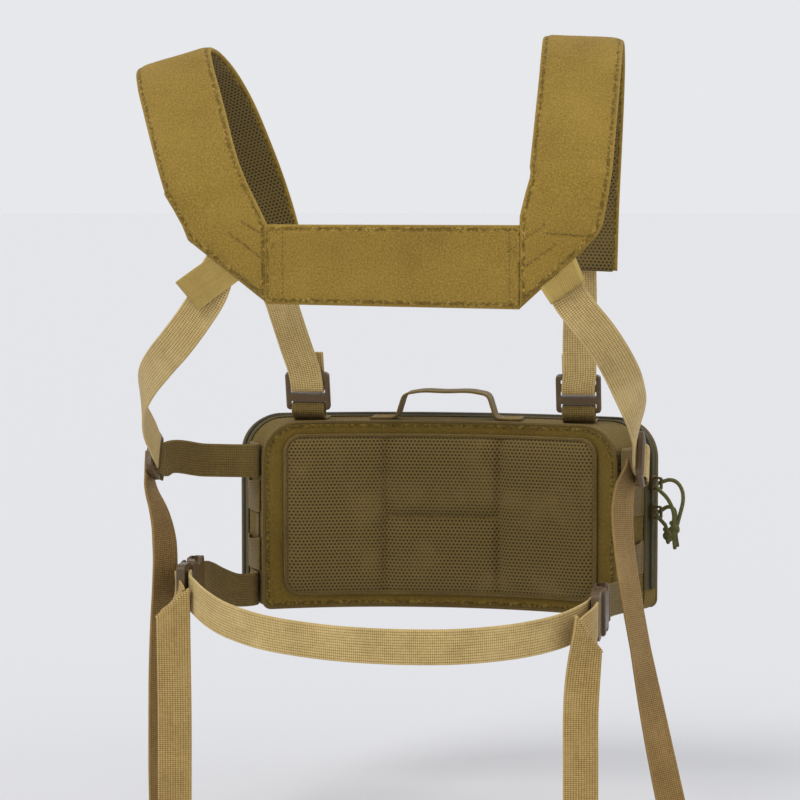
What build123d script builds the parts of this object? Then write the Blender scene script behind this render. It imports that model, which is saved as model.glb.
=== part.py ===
"""Binocular harness pack: a chest pack on a padded yoke harness, in the shape it takes when worn.

Millimetres. +X is the wearer's right, +Y is the way the wearer faces and +Z is up.
The origin is on the pack's middle plane, between the undersides of the shoulder straps where they
cross the shoulders. The straps lie as on a standing wearer; the pack itself is symmetric about X = 0.
"""
from build123d import *
from math import cos, radians, sin, tan
import os

os.makedirs("parts", exist_ok=True)

# Webbing and padding
webbing_width = 25.0
webbing_thick = 1.8
strap_width = 56.0
strap_thick = 6.0
lining_thick = 1.5
sewn_gap = 0.2

# Harness back: the strap ends and the yoke lie flat in one vertical layer
back_layer = 73.0
yoke_left = -90.0
yoke_right = 82.5
yoke_top = -119.0

# Pack: a block between two arcs round the wearer's chest, with side walls along radii
arc_centre_y = -142.0
pack_half_angle = 26.5
back_radius = 300.0
shell_rim_radius = 349.6
cover_rim_radius = 350.4
front_radius = 361.5
pack_top = -273.0
pack_bottom = -415.0
top_corner = 28.0
bottom_corner = 6.0
wall = 2.5

# Zip
tape_thick = 1.0
tape_width = 9.0
teeth_height = 1.8
teeth_width = 1.7
upper_slider_z = -319.0
lower_slider_z = -341.0
pull_cord_diameter = 3.0

# Buckles
buckle_width = 35.0
buckle_thick = 11.0
ladder_thick = 6.0
bar_slot = 26.5
left_buckle = (-173.0, -385.0)
right_buckle = (128.0, -399.0)
ladder_start = 13.0
ladder_length = 22.0
shell_start = 36.5
shell_length = 34.0
female_end = 80.0

side_radians = radians(pack_half_angle)
right_wall_normal = Vector(cos(side_radians), -sin(side_radians), 0)
right_wall_along = Vector(sin(side_radians), cos(side_radians), 0)


def save(name, builder):
    """Label a finished piece and write it to its own STEP file."""
    builder.part.label = name
    export_step(builder.part, f"parts/{name}.step")


def wall_point(radius, stand_off, z, side=1):
    """Point on a side wall's outer face, stand_off away from it; side is +1 right, -1 left."""
    point = right_wall_along * radius + right_wall_normal * stand_off
    return (side * point.X, point.Y + arc_centre_y, z)


def add_band(stations, width, thick, shift=0.0):
    """Loft a flat band through stations of (centre, direction across); shift moves it outward."""
    centres = [Vector(*centre) for centre, across in stations]
    last = len(centres) - 1
    sections = []
    for index, (centre, across) in enumerate(stations):
        tangent = (centres[min(index + 1, last)] - centres[max(index - 1, 0)]).normalized()
        hint = Vector(*across)
        level = (hint - tangent * hint.dot(tangent)).normalized()
        outward = tangent.cross(level)
        origin = centres[index] + outward * shift
        with BuildSketch(Plane(origin=origin, x_dir=level, z_dir=tangent)) as section:
            Rectangle(width, thick)
        sections.append(section.sketch)
    for span in zip(sections, sections[1:]):
        loft(list(span), ruled=True)


def add_back_panel(outline, near, far):
    """Extrude an X-Z outline between two distances behind the origin."""
    with BuildSketch(Plane.XZ.offset(near)) as panel:
        with BuildLine():
            Polyline(*outline, close=True)
        make_face()
    extrude(panel.sketch, amount=far - near)


def add_sector(inner, outer, half_angle, low, high, grow=0.0, mode=Mode.ADD):
    """Part of a ring about the arc centre, between two heights and two radial planes."""
    apex_y = arc_centre_y - grow / sin(radians(half_angle))
    reach = 2 * outer
    half = reach * tan(radians(half_angle))
    with BuildSketch(Plane.XY.offset(low)) as ring:
        with Locations((0, arc_centre_y)):
            Circle(outer)
            Circle(inner, mode=Mode.SUBTRACT)
        with BuildLine():
            Polyline((0, apex_y), (half, apex_y + reach), (-half, apex_y + reach), close=True)
        make_face(mode=Mode.INTERSECT)
    extrude(ring.sketch, amount=high - low, mode=mode)


def pack_block(inner, outer, grow):
    """The pack's rounded outline between two radii, with its walls moved outward by grow."""
    with BuildPart(mode=Mode.PRIVATE) as block:
        add_sector(inner, outer, pack_half_angle, pack_bottom - grow, pack_top + grow, grow)
        radial = block.edges().filter_by(GeomType.LINE).filter_by(Axis.Z, reverse=True)
        fillet(radial.group_by(Axis.Z)[-1], top_corner + grow)
        radial = block.edges().filter_by(GeomType.LINE).filter_by(Axis.Z, reverse=True)
        fillet(radial.group_by(Axis.Z)[0], bottom_corner + grow)
    return block.part


# Shoulder straps ------------------------------------------------------------------------------
strap_stations = {
    "left": [
        ((-124, 112, -155), (1, 0, 0)),
        ((-134, 101, -110), (1, 0, 0.1)),
        ((-146, 84, -68), (1, 0, 0.15)),
        ((-157, 62, -34), (1, 0, 0.2)),
        ((-166, 40, -14), (1, 0, 0.25)),
        ((-172, 20, -5), (1, 0, 0.28)),
        ((-172.5, 0, -5), (1, 0, 0.29)),
        ((-167.5, -18, -16), (1, 0, 0.25)),
        ((-159.5, -35, -33), (1, 0, 0.2)),
        ((-151, -50.5, -53), (1, 0, 0.2)),
        ((-144.5, -63, -71), (1, 0, 0.3)),
        ((-138.5, -71.5, -87), (1, 0, 0.38)),
        ((-133, -75.6, -100), (1, 0, 0.42)),
        ((-130, -76, -107), (1, 0, 0.42)),
    ],
    "right": [
        ((107, 112, -155), (1, 0, 0)),
        ((109, 101, -106), (1, 0, 0)),
        ((112, 85, -62), (1, 0, 0)),
        ((115, 63, -24), (1, 0, 0)),
        ((117, 40, -2), (1, 0, -0.03)),
        ((118, 20, 7), (1, 0, -0.05)),
        ((118.5, 1, 7.5), (1, 0, -0.05)),
        ((119, -17, -4), (1, 0, -0.03)),
        ((119, -33, -22), (1, 0, 0)),
        ((118.5, -48.5, -43), (1, 0, 0)),
        ((117.8, -61.5, -63), (1, 0, 0)),
        ((117, -71, -81), (1, 0, 0)),
        ((115.8, -75.6, -97), (1, 0, 0)),
        ((115, -76, -106), (1, 0, 0)),
    ],
}
strap_wings = {
    "left": [
        (-163, -90), (-150, -120), (-146, -130), (yoke_left - sewn_gap, -173.5),
        (yoke_left - sewn_gap, yoke_top), (-105, -88),
    ],
    "right": [
        (144, -92), (139, -119), (135, -126), (125, -137), (yoke_right + sewn_gap, -176),
        (yoke_right + sewn_gap, yoke_top), (86, -90),
    ],
}
lining_tops = {"left": -113.5, "right": -101.0}
lining_near = back_layer - sewn_gap - lining_thick
lining_shift = -(strap_thick + lining_thick) / 2 - sewn_gap
for side, stations in strap_stations.items():
    with BuildPart() as shoulder_strap:
        add_band(stations, strap_width, strap_thick)
        add_back_panel(strap_wings[side], back_layer, back_layer + strap_thick)
    save(f"shoulder_strap_{side}", shoulder_strap)

    with BuildPart() as shoulder_lining:
        add_band(stations, strap_width - 6, lining_thick, lining_shift)
        lining_wing = [(x, min(z, lining_tops[side])) for x, z in strap_wings[side]]
        add_back_panel(lining_wing, lining_near, back_layer - sewn_gap)
    save(f"shoulder_lining_{side}", shoulder_lining)

yoke_outline = [(yoke_left, yoke_top), (yoke_right, yoke_top), (yoke_right, -176), (yoke_left, -173.5)]
with BuildPart() as back_yoke:
    add_back_panel(yoke_outline, back_layer, back_layer + strap_thick)
save("back_yoke", back_yoke)

with BuildPart() as yoke_lining:
    add_back_panel(yoke_outline, lining_near, back_layer - sewn_gap)
save("yoke_lining", yoke_lining)

# Folded tabs sewn over the roots of the under-arm straps
tab_near = back_layer + strap_thick + 0.4
tab_thick = 3.0
tab_outlines = {
    "left": [(-131, -142), (-153, -158), (-137, -177), (-110, -157)],
    "right": [(121, -141), (127, -155), (104, -171), (97, -161)],
}
for side, outline in tab_outlines.items():
    with BuildPart() as yoke_loop:
        add_back_panel(outline, tab_near, tab_near + tab_thick)
    save(f"yoke_loop_{side}", yoke_loop)

# Under-arm straps and their adjusters -----------------------------------------------------------
side_strap_stations = {
    "left": [
        ((-125.8, -76, -151), (0.8, 0, -0.6)),
        ((-130.5, -75, -165), (0.8, 0, -0.6)),
        ((-142.3, -71.5, -183), (0.76, 0, -0.65)),
        ((-155.8, -65, -199.4), (0.73, 0, -0.69)),
        ((-172.5, -49, -215.8), (0.62, -0.1, -0.78)),
        ((-187.1, -27, -230.9), (0.42, -0.2, -0.89)),
        ((-196.5, -3, -246), (0.2, -0.35, -0.91)),
        ((-199.3, 18, -263), (0.05, -0.45, -0.88)),
        ((-198, 37, -278), (0, -0.436, -0.9)),
        ((-198.2, 55, -287), (0, -0.436, -0.9)),
    ],
    "right": [
        ((111.5, -76, -155.5), (0.75, 0, 0.66)),
        ((116.5, -75, -167), (0.77, 0, 0.64)),
        ((124.8, -72, -178.8), (0.8, 0, 0.6)),
        ((134.9, -64, -192.2), (0.82, 0, 0.57)),
        ((143.3, -53, -206.4), (0.85, 0.07, 0.52)),
        ((149.8, -39, -220.9), (0.85, 0.15, 0.5)),
        ((154.8, -21, -237.4), (0.68, 0.35, 0.62)),
        ((157.6, -4, -251.3), (0.45, 0.42, 0.72)),
        ((157.2, 17, -266), (0.2, 0.43, 0.85)),
        ((153.4, 37, -278), (0, 0.436, 0.9)),
        ((153.2, 55, -287), (0, 0.436, 0.9)),
    ],
}
side_tail_stations = {
    "left": [
        ((-206.6, 61, -294), (0, 1, 0)),
        ((-207.4, 61, -306), (0, 1, 0)),
        ((-206, 60.5, -318), (0.1, 1, 0)),
        ((-199, 59.5, -334), (0.3, 0.9, 0)),
        ((-194.5, 58, -356), (0.5, 0.85, 0)),
        ((-194.5, 57, -385), (0.55, 0.83, 0)),
        ((-197, 56, -425), (0.55, 0.83, 0)),
        ((-197.5, 54, -470), (0.55, 0.83, 0)),
        ((-197, 52, -515), (0.6, 0.8, 0)),
        ((-196, 50, -562), (0.6, 0.8, 0)),
    ],
    "right": [
        ((148.5, 62, -296), (0.2, 0.97, 0)),
        ((145.2, 61, -309), (0.5, 0.86, 0)),
        ((143, 60, -326), (0.55, 0.83, 0)),
        ((144.5, 56, -350), (0.5, 0.87, 0)),
        ((150.5, 51, -388), (0.5, 0.87, 0)),
        ((158, 46, -426), (0.5, 0.87, 0)),
        ((166.5, 41, -468), (0.65, 0.76, 0)),
        ((176, 35, -512), (0.75, 0.66, 0)),
        ((188, 28, -562), (0.8, 0.6, 0)),
    ],
}
side_anchor_stations = {
    "left": [
        ((-198.2, 62.5, -292), (0, 0.3, 0.95)),
        ((-196.5, 75, -296), (0, 0.2, 1)),
        ((-174, 106, -300), (0, 0, 1)),
        (wall_point(310, 1.5, -302, -1), (0, 0, 1)),
        (wall_point(330, 1.5, -302, -1), (0, 0, 1)),
    ],
    "right": [
        ((153.2, 62.5, -292), (0, 0.3, 0.95)),
        ((153, 75, -296), (0, 0.2, 1)),
        ((146.5, 105, -300), (0, 0, 1)),
        (wall_point(310, 1.5, -302), (0, 0, 1)),
        (wall_point(330, 1.5, -302), (0, 0, 1)),
    ],
}
adjuster_along = (0, 0.9, -0.436)
side_adjuster_planes = {
    "left": Plane(origin=(-202, 58, -290), x_dir=adjuster_along, z_dir=(-1, 0, 0)),
    "right": Plane(origin=(157, 58, -290), x_dir=adjuster_along, z_dir=(1, 0, 0)),
}


def add_adjuster(plane):
    """Three-slot ladder adjuster lying in a plane, its length along the plane's X."""
    length = 30.0
    thick = 5.0
    slot_height = 4.5
    with BuildSketch(plane.offset(-thick / 2)) as frame:
        RectangleRounded(length, 34, 3)
        with Locations((-9, 0), (0, 0), (10, 0)):
            Rectangle(slot_height, 27, mode=Mode.SUBTRACT)
    extrude(frame.sketch, amount=thick)
    flat_faces = faces().filter_by(Axis((0, 0, 0), plane.z_dir))
    chamfer([edge for face in flat_faces for edge in face.outer_wire().edges()], 1.0)


for side in ("left", "right"):
    with BuildPart() as side_strap:
        add_band(side_strap_stations[side], webbing_width, webbing_thick)
    save(f"side_strap_{side}", side_strap)

    with BuildPart() as side_adjuster:
        add_adjuster(side_adjuster_planes[side])
    save(f"side_adjuster_{side}", side_adjuster)

    with BuildPart() as side_anchor:
        add_band(side_anchor_stations[side], webbing_width, webbing_thick)
    save(f"side_anchor_{side}", side_anchor)

    with BuildPart() as side_tail:
        add_band(side_tail_stations[side], webbing_width, webbing_thick)
    save(f"side_tail_{side}", side_tail)

# Front straps down to the pack's top ------------------------------------------------------------
front_tilt = (0, 0.27, -0.96)
front_strap_tops = {
    "left": [(-123.6, 112.8, -157), (-118, 125, -185), (-110.5, 136.5, -215)],
    "right": [(107, 112.8, -157), (106.5, 125, -185), (105, 136.5, -215)],
}
for side, sign in (("left", -1), ("right", 1)):
    across = (1, 0, 0)
    front_x = 103.5 * sign
    lower_run = [(104.8 * sign, 142.5, -236), (front_x, 146.2, -250)]
    with BuildPart() as front_strap:
        route = front_strap_tops[side] + lower_run
        add_band([(point, across) for point in route], webbing_width, webbing_thick)
    save(f"front_strap_{side}", front_strap)

    with BuildPart() as front_adjuster:
        add_adjuster(Plane(origin=(front_x, 150, -250), x_dir=front_tilt, z_dir=(0, 0.96, 0.27)))
    save(f"front_adjuster_{side}", front_adjuster)

    with BuildPart() as front_anchor:
        route = [(front_x, 147.4, -254.5), (front_x, 149, -262), (front_x, 151.5, -267.5),
                 (front_x, 157, -271.3), (front_x, 164, -271.8), (front_x, 178, -271.8)]
        add_band([(point, across) for point in route], webbing_width, webbing_thick)
    save(f"front_anchor_{side}", front_anchor)

# Waist strap, buckles and tails -----------------------------------------------------------------
upright = (0, 0, 1)
waist_route = [
    (-168, 31, -385), (-167.8, 20, -386.5), (-159.5, 7, -391.5), (-142, -11, -399), (-113, -33, -405),
    (-59, -55, -409.5), (-5, -61, -411), (47, -56, -410), (86, -35, -407.5), (107, -13, -404.5),
    (119, 6, -401), (123.4, 19, -399.3), (123.6, 31, -399),
]
with BuildPart() as waist_strap:
    add_band([(point, upright) for point in waist_route], webbing_width, webbing_thick)
save("waist_strap", waist_strap)

waist_anchor_stations = {
    "left": [(-168.4, 75, -385), (-168, 85, -386.5), (-163, 97, -392), (-153.5, 113, -399),
             wall_point(312, 1.5, -401, -1), wall_point(330, 1.5, -401, -1)],
    "right": [(123.4, 75, -399), (124.2, 86, -399.5), (129.5, 108, -400.5),
              wall_point(310, 1.5, -401), wall_point(330, 1.5, -401)],
}
waist_tail_stations = {
    "left": [(-177.2, 7.4, -395), (-176.8, 7.2, -430), (-176.3, 7, -475), (-176.6, 7.5, -520),
             (-177, 8, -562)],
    "right": [(121.3, -17, -407), (121.1, -17.4, -430), (120.9, -17.6, -460), (120.9, -17.6, -500),
              (121.1, -17.2, -562)],
}


def add_buckle_male(centre_x, centre_z):
    """Ladder end, centre tongue and two barbed prongs, all pointing forward."""
    with BuildSketch(Plane.YZ.offset(centre_x - ladder_thick / 2)) as ladder:
        with Locations((ladder_start + ladder_length / 2, centre_z)):
            RectangleRounded(ladder_length, buckle_width, 4)
            with Locations((-5.5, 0), (3.5, 0)):
                Rectangle(4.4, bar_slot, mode=Mode.SUBTRACT)
    extrude(ladder.sketch, amount=ladder_thick)
    neck = ladder_start + ladder_length
    with BuildSketch(Plane.YZ.offset(centre_x - 2.4)) as prongs:
        with BuildLine():
            Polyline((neck - 3, centre_z - 4), (neck + 23, centre_z - 4), (neck + 25, centre_z - 2.5),
                     (neck + 25, centre_z + 2.5), (neck + 23, centre_z + 4), (neck - 3, centre_z + 4),
                     close=True)
        make_face()
        for side in (-1, 1):
            with BuildLine():
                Polyline((neck - 3, centre_z + side * 9.5), (neck + 22, centre_z + side * 9.5),
                         (neck + 26, centre_z + side * 12.5), (neck + 17, centre_z + side * 17.2),
                         (neck + 10, centre_z + side * 16.6), (neck + 9, centre_z + side * 13),
                         (neck - 3, centre_z + side * 13), close=True)
            make_face()
    extrude(prongs.sketch, amount=4.8)


def add_buckle_female(centre_x, centre_z):
    """Flat shell with a full-width slit for the prongs, thumb notches and a webbing bar."""
    middle = shell_start + shell_length / 2
    with BuildSketch(Plane.YZ.offset(centre_x - buckle_thick / 2)) as shell:
        with Locations((middle, centre_z)):
            RectangleRounded(shell_length, buckle_width, 3)
    extrude(shell.sketch, amount=buckle_thick)
    chamfer(edges().filter_by(Axis.X, reverse=True), 1.2)
    with BuildSketch(Plane.YZ.offset(centre_x - 2.8)) as slit:
        with Locations((middle - 3, centre_z)):
            Rectangle(shell_length, buckle_width + 2)
    extrude(slit.sketch, amount=5.6, mode=Mode.SUBTRACT)
    with BuildSketch(Plane.YZ.offset(centre_x - buckle_thick / 2)) as notches:
        for side in (-1, 1):
            with Locations((middle - 1, centre_z + side * 24)):
                Circle(11)
    extrude(notches.sketch, amount=buckle_thick, mode=Mode.SUBTRACT)
    bar_start = shell_start + shell_length - 2
    with BuildSketch(Plane.YZ.offset(centre_x - ladder_thick / 2)) as bar:
        with Locations(((bar_start + female_end) / 2, centre_z)):
            RectangleRounded(female_end - bar_start, buckle_width - 2, 2.5)
        with Locations((female_end - 5.4, centre_z)):
            Rectangle(4.4, bar_slot, mode=Mode.SUBTRACT)
    extrude(bar.sketch, amount=ladder_thick)


for side, (centre_x, centre_z) in (("left", left_buckle), ("right", right_buckle)):
    with BuildPart() as waist_buckle_male:
        add_buckle_male(centre_x, centre_z)
    save(f"waist_buckle_male_{side}", waist_buckle_male)

    with BuildPart() as waist_buckle_female:
        add_buckle_female(centre_x, centre_z)
    save(f"waist_buckle_female_{side}", waist_buckle_female)

    with BuildPart() as waist_anchor:
        route = waist_anchor_stations[side]
        add_band([(point, upright) for point in route], webbing_width, webbing_thick)
    save(f"waist_anchor_{side}", waist_anchor)

    with BuildPart() as waist_tail:
        route = waist_tail_stations[side]
        add_band([(point, (1, 0, 0)) for point in route], webbing_width, webbing_thick)
    save(f"waist_tail_{side}", waist_tail)

# Pack shell -------------------------------------------------------------------------------------
grommet_radius = 7.0
drain_radius = 3.5
drain_places = [(-60, 172), (60, 172)]
with BuildPart() as pack_shell:
    add(pack_block(back_radius, shell_rim_radius, 0))
    add(pack_block(back_radius + wall, shell_rim_radius + 5, -wall), mode=Mode.SUBTRACT)
    with Locations(*[(x, y, pack_bottom) for x, y in drain_places]):
        Cylinder(drain_radius + 0.9, 4 * wall, mode=Mode.SUBTRACT)
save("pack_shell", pack_shell)

with BuildPart() as drain_grommets:
    with BuildSketch(Plane.XY.offset(pack_bottom - 1.2)):
        with Locations(*drain_places):
            Circle(grommet_radius)
            Circle(drain_radius, mode=Mode.SUBTRACT)
    extrude(amount=1.0)
    with BuildSketch(Plane.XY.offset(pack_bottom - 0.2)):
        with Locations(*drain_places):
            Circle(drain_radius + 0.7)
            Circle(drain_radius, mode=Mode.SUBTRACT)
    extrude(amount=wall + 0.4)
save("drain_grommets", drain_grommets)

with BuildPart() as pack_back_panel:
    add_sector(back_radius - 8, back_radius - 0.3, 23.5, pack_bottom + 9, pack_top - 9)
    fillet(pack_back_panel.edges().filter_by(GeomType.LINE).filter_by(Axis.Z), 2.5)
save("pack_back_panel", pack_back_panel)

# Slip pocket on the inside of the back wall: a panel on side and bottom strips
pocket_inner = back_radius + wall + 0.3
pocket_outer = pocket_inner + 8
with BuildPart() as inner_pocket:
    add_sector(pocket_inner, pocket_outer, 18, pack_bottom + 4, pack_top - 60)
    add_sector(pocket_inner - 5, pocket_outer - 1.5, 17.7, pack_bottom + 5.5, pack_top - 50,
               mode=Mode.SUBTRACT)
save("inner_pocket", inner_pocket)

# Elastic band across the pocket, its ends turned back to the wall beside it
band_outer = pocket_outer + 2.2
with BuildPart() as retention_strap:
    add_sector(pocket_inner, band_outer, 19.5, -338, -313)
    add_sector(pocket_inner - 5, band_outer - 1.5, 19.2, -345, -306, mode=Mode.SUBTRACT)
save("retention_strap", retention_strap)

# Pack cover, loops and handle --------------------------------------------------------------------
with BuildPart() as pack_cover:
    add(pack_block(cover_rim_radius, front_radius, 0))
    add(pack_block(cover_rim_radius - 5, front_radius - wall, -wall), mode=Mode.SUBTRACT)
save("pack_cover", pack_cover)

row_inner = front_radius + 0.3
row_centres = (-364.0, -397.0)
with BuildPart() as front_webbing:
    for height in row_centres:
        add_sector(row_inner, row_inner + webbing_thick, 21, height - webbing_width / 2,
                   height + webbing_width / 2)
save("front_webbing", front_webbing)

with BuildPart() as loop_patch:
    add_sector(row_inner, row_inner + 1.5, 8, -343, -293)
save("loop_patch", loop_patch)

side_row_centres = (-329.5, -374.0)
for side, sign in (("left", -1), ("right", 1)):
    with BuildPart() as side_webbing:
        for height in side_row_centres:
            middle = wall_point(322, 0.4 + webbing_thick / 2, height, sign)
            wall_plane = Plane(origin=middle, x_dir=(sign * right_wall_along.X, right_wall_along.Y, 0),
                               z_dir=(sign * right_wall_normal.X, right_wall_normal.Y, 0))
            with BuildSketch(wall_plane.offset(-webbing_thick / 2)) as row:
                Rectangle(31, webbing_width)
            extrude(row.sketch, amount=webbing_thick)
    save(f"side_webbing_{side}", side_webbing)

handle_y = 178.0
with BuildPart() as grab_handle:
    with BuildSketch(Plane.XZ.offset(-handle_y - webbing_width / 2)):
        with BuildLine():
            foot = pack_top + 1.1
            FilletPolyline((-58, foot), (-39, foot), (-31, foot + 20), (31, foot + 20), (39, foot),
                           (58, foot), radius=5)
        trace(line_width=webbing_thick)
    extrude(amount=webbing_width)
save("grab_handle", grab_handle)


def zip_strip(inner, outer, low, high):
    """Strip over the sides and top of the pack, between two radii and two heights above it."""
    strip = pack_block(inner, outer, high) - pack_block(inner - 5, outer + 5, low)
    keep_from = pack_bottom + 14
    keep = Pos(0, arc_centre_y + front_radius, keep_from + 100) * Box(500, 500, 200)
    return strip & keep


tape_low = 0.1
tape_high = tape_low + tape_thick
teeth_high = tape_high + teeth_height
zip_strips = {
    "zipper_tape_shell": (shell_rim_radius - tape_width, shell_rim_radius - 0.1, tape_low, tape_high),
    "zipper_teeth_shell": (shell_rim_radius - teeth_width, shell_rim_radius, tape_high, teeth_high),
    "zipper_tape_cover": (cover_rim_radius + 0.1, cover_rim_radius + tape_width, tape_low, tape_high),
    "zipper_teeth_cover": (cover_rim_radius, cover_rim_radius + teeth_width, tape_high, teeth_high),
}
for name, limits in zip_strips.items():
    strip = zip_strip(*limits)
    with BuildPart() as zip_part:
        add(strip)
    save(name, zip_part)

# Sliders and their knotted cord pulls -------------------------------------------------------------
# Each slider has its own frame on the right side wall: X along the wall, Y away from it, Z up.
bail_stand_off = 7.0
bail_inner = (7.2, 4.6)
bail_wire = 1.4


def slider_plane(height):
    """XZ-style plane at the zip's middle, its Z pointing away from the wall."""
    origin = wall_point((shell_rim_radius + cover_rim_radius) / 2, 0, height)
    return Plane(origin=origin, x_dir=right_wall_along, z_dir=right_wall_normal)


def slider_point(height, along, stand_off, rise):
    """Point in a slider's own frame, as a point of the model."""
    point = right_wall_along * along + right_wall_normal * stand_off
    base = wall_point((shell_rim_radius + cover_rim_radius) / 2, 0, height)
    return (base[0] + point.X, base[1] + point.Y, height + rise)


def add_slider(height):
    """Top plate over both rows of teeth, a flange beside the shell's row and an arch for the pull."""
    plane = slider_plane(height)
    plate_low = teeth_high + 0.4
    plate_high = plate_low + 1.4
    with BuildSketch(plane.offset(plate_low)) as plate:
        with BuildLine():
            Polyline((-4.4, -6), (3.6, -6), (2.6, 6), (-3.6, 6), close=True)
        make_face()
        fillet(plate.vertices(), 1.2)
    extrude(plate.sketch, amount=plate_high - plate_low)
    with BuildSketch(plane.offset(tape_high + 0.3)) as flange:
        with Locations((-3.0, 0)):
            Rectangle(1.0, 9)
    extrude(flange.sketch, amount=plate_high - tape_high - 0.5)
    arch_plane = Plane(origin=plane.origin, x_dir=(0, 0, 1), z_dir=right_wall_along)
    with BuildSketch(arch_plane.offset(-1.2)) as arch:
        with Locations((0, bail_stand_off)):
            RectangleRounded(bail_inner[0] + 2 * bail_wire, bail_inner[1] + 2 * bail_wire, 1.8)
            RectangleRounded(bail_inner[0], bail_inner[1], 1.2, mode=Mode.SUBTRACT)
    extrude(arch.sketch, amount=2.4)


pull_routes = {
    "upper": [
        (0.9, 7, 0), (4.4, 7.8, 0.8), (6.2, 14, 3.2), (5, 21.5, 1.5), (2.2, 27.5, -4.5),
        (-1, 29.8, -12.5), (-2.8, 28, -21.5), (-3, 24.8, -34), (-9, 24.8, -34),
        (-9.2, 27, -23.5), (-9.3, 24.5, -15), (-8.6, 19.5, -8.5), (-7.3, 12.5, -4.2),
        (-4.4, 7.8, -1.2), (-0.9, 7, 0),
    ],
    "lower": [
        (0.9, 7, 0), (4.4, 7.6, 1.0), (6.6, 11.8, 4.4), (7.8, 16.8, 3.2), (8.4, 18.2, -2.6),
        (8.6, 16.2, -8.5), (8.6, 13, -19), (2.6, 13, -19), (2.2, 13.6, -10.5),
        (-1.8, 12, -6.5), (-4.3, 7.8, -1.2), (-0.9, 7, 0),
    ],
}
knot_places = {"upper": (-6, 25.2, -31), "lower": (5.6, 13, -15.8)}
slider_heights = {"upper": upper_slider_z, "lower": lower_slider_z}


def corner_radii(points):
    """The largest arcs that the runs allow, at 0.45 of the shorter run beside each corner."""
    radii = []
    for before, corner, after in zip(points, points[1:], points[2:]):
        first = Vector(*corner) - Vector(*before)
        second = Vector(*after) - Vector(*corner)
        turn = radians(first.get_angle(second))
        radii.append(0.45 * min(first.length, second.length) / tan(turn / 2))
    return radii


for which, route in pull_routes.items():
    height = slider_heights[which]
    with BuildPart() as zipper_slider:
        add_slider(height)
    save(f"zipper_slider_{which}", zipper_slider)

    points = [slider_point(height, *place) for place in route]
    radii = corner_radii(points)
    print(f"pull_cord_{which} radii", [round(radius, 1) for radius in radii])
    with BuildPart() as pull_cord:
        with BuildLine():
            centreline = FilletPolyline(*points, radius=radii)
        with BuildSketch(Plane(origin=points[0], z_dir=centreline % 0)):
            Circle(pull_cord_diameter / 2)
        sweep()
    print(f"pull_cord_{which} length", round(centreline.length, 1))
    save(f"pull_cord_{which}", pull_cord)

    knot = slider_point(height, *knot_places[which])
    with BuildPart() as pull_knot:
        with Locations(Plane(origin=knot, x_dir=right_wall_along, z_dir=right_wall_normal)):
            Cylinder(4.4, 9.2, rotation=(0, 90, 0))
            fillet(edges().filter_by(GeomType.CIRCLE), 2.5)
    save(f"pull_knot_{which}", pull_knot)
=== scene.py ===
"""Looks of the binocular harness pack: cloth, webbing, stitching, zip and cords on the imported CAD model.

Tables are in millimetres, in the CAD model's frame, and MM turns them into metres; a cord's route is in
metres already. +X is the wearer's right, +Y the way the wearer faces and +Z up.
"""
import math

import bmesh
import bpy
import numpy as np
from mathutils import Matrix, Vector, noise
from mathutils.bvhtree import BVHTree


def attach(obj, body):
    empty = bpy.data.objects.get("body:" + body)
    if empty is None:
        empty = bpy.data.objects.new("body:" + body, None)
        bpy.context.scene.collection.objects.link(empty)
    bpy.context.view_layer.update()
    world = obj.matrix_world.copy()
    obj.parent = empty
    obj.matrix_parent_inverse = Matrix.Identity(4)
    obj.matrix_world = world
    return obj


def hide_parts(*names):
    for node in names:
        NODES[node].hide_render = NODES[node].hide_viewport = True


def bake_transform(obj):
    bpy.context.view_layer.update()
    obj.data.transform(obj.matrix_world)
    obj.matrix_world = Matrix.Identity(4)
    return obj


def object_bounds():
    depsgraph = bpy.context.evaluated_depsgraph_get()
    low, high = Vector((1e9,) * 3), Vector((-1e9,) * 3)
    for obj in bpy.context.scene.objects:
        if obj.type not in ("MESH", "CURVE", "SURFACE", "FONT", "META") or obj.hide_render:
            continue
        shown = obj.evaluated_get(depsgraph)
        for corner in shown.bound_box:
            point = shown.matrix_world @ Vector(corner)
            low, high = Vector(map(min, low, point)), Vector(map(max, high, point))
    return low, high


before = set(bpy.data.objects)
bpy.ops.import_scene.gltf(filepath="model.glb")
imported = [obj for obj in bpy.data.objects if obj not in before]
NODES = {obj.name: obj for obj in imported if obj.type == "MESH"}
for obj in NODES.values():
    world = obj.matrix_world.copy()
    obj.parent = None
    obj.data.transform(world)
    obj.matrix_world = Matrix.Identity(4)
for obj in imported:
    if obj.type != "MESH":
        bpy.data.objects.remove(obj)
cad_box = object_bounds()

MM = 0.001
WEBBING, WEBBING_THICK = 25.0, 1.8
SIDES = (("left", -1), ("right", 1))
SIDEWAYS, FORWARD, BACKWARD, UPRIGHT = (1, 0, 0), (0, 1, 0), (0, -1, 0), (0, 0, 1)
CLOTH_ORIGIN, FAR_FROM_EDGE = 0.1, 50.0

# Camera -----------------------------------------------------------------------------------------
AZIMUTH = math.radians(8.5)
ELEVATION = math.radians(4.5)
CAMERA_DISTANCE = 2.075
CAMERA_ASIDE = -0.010
CAMERA_HEIGHT = -0.081
LENS_MM = 132.3

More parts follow.
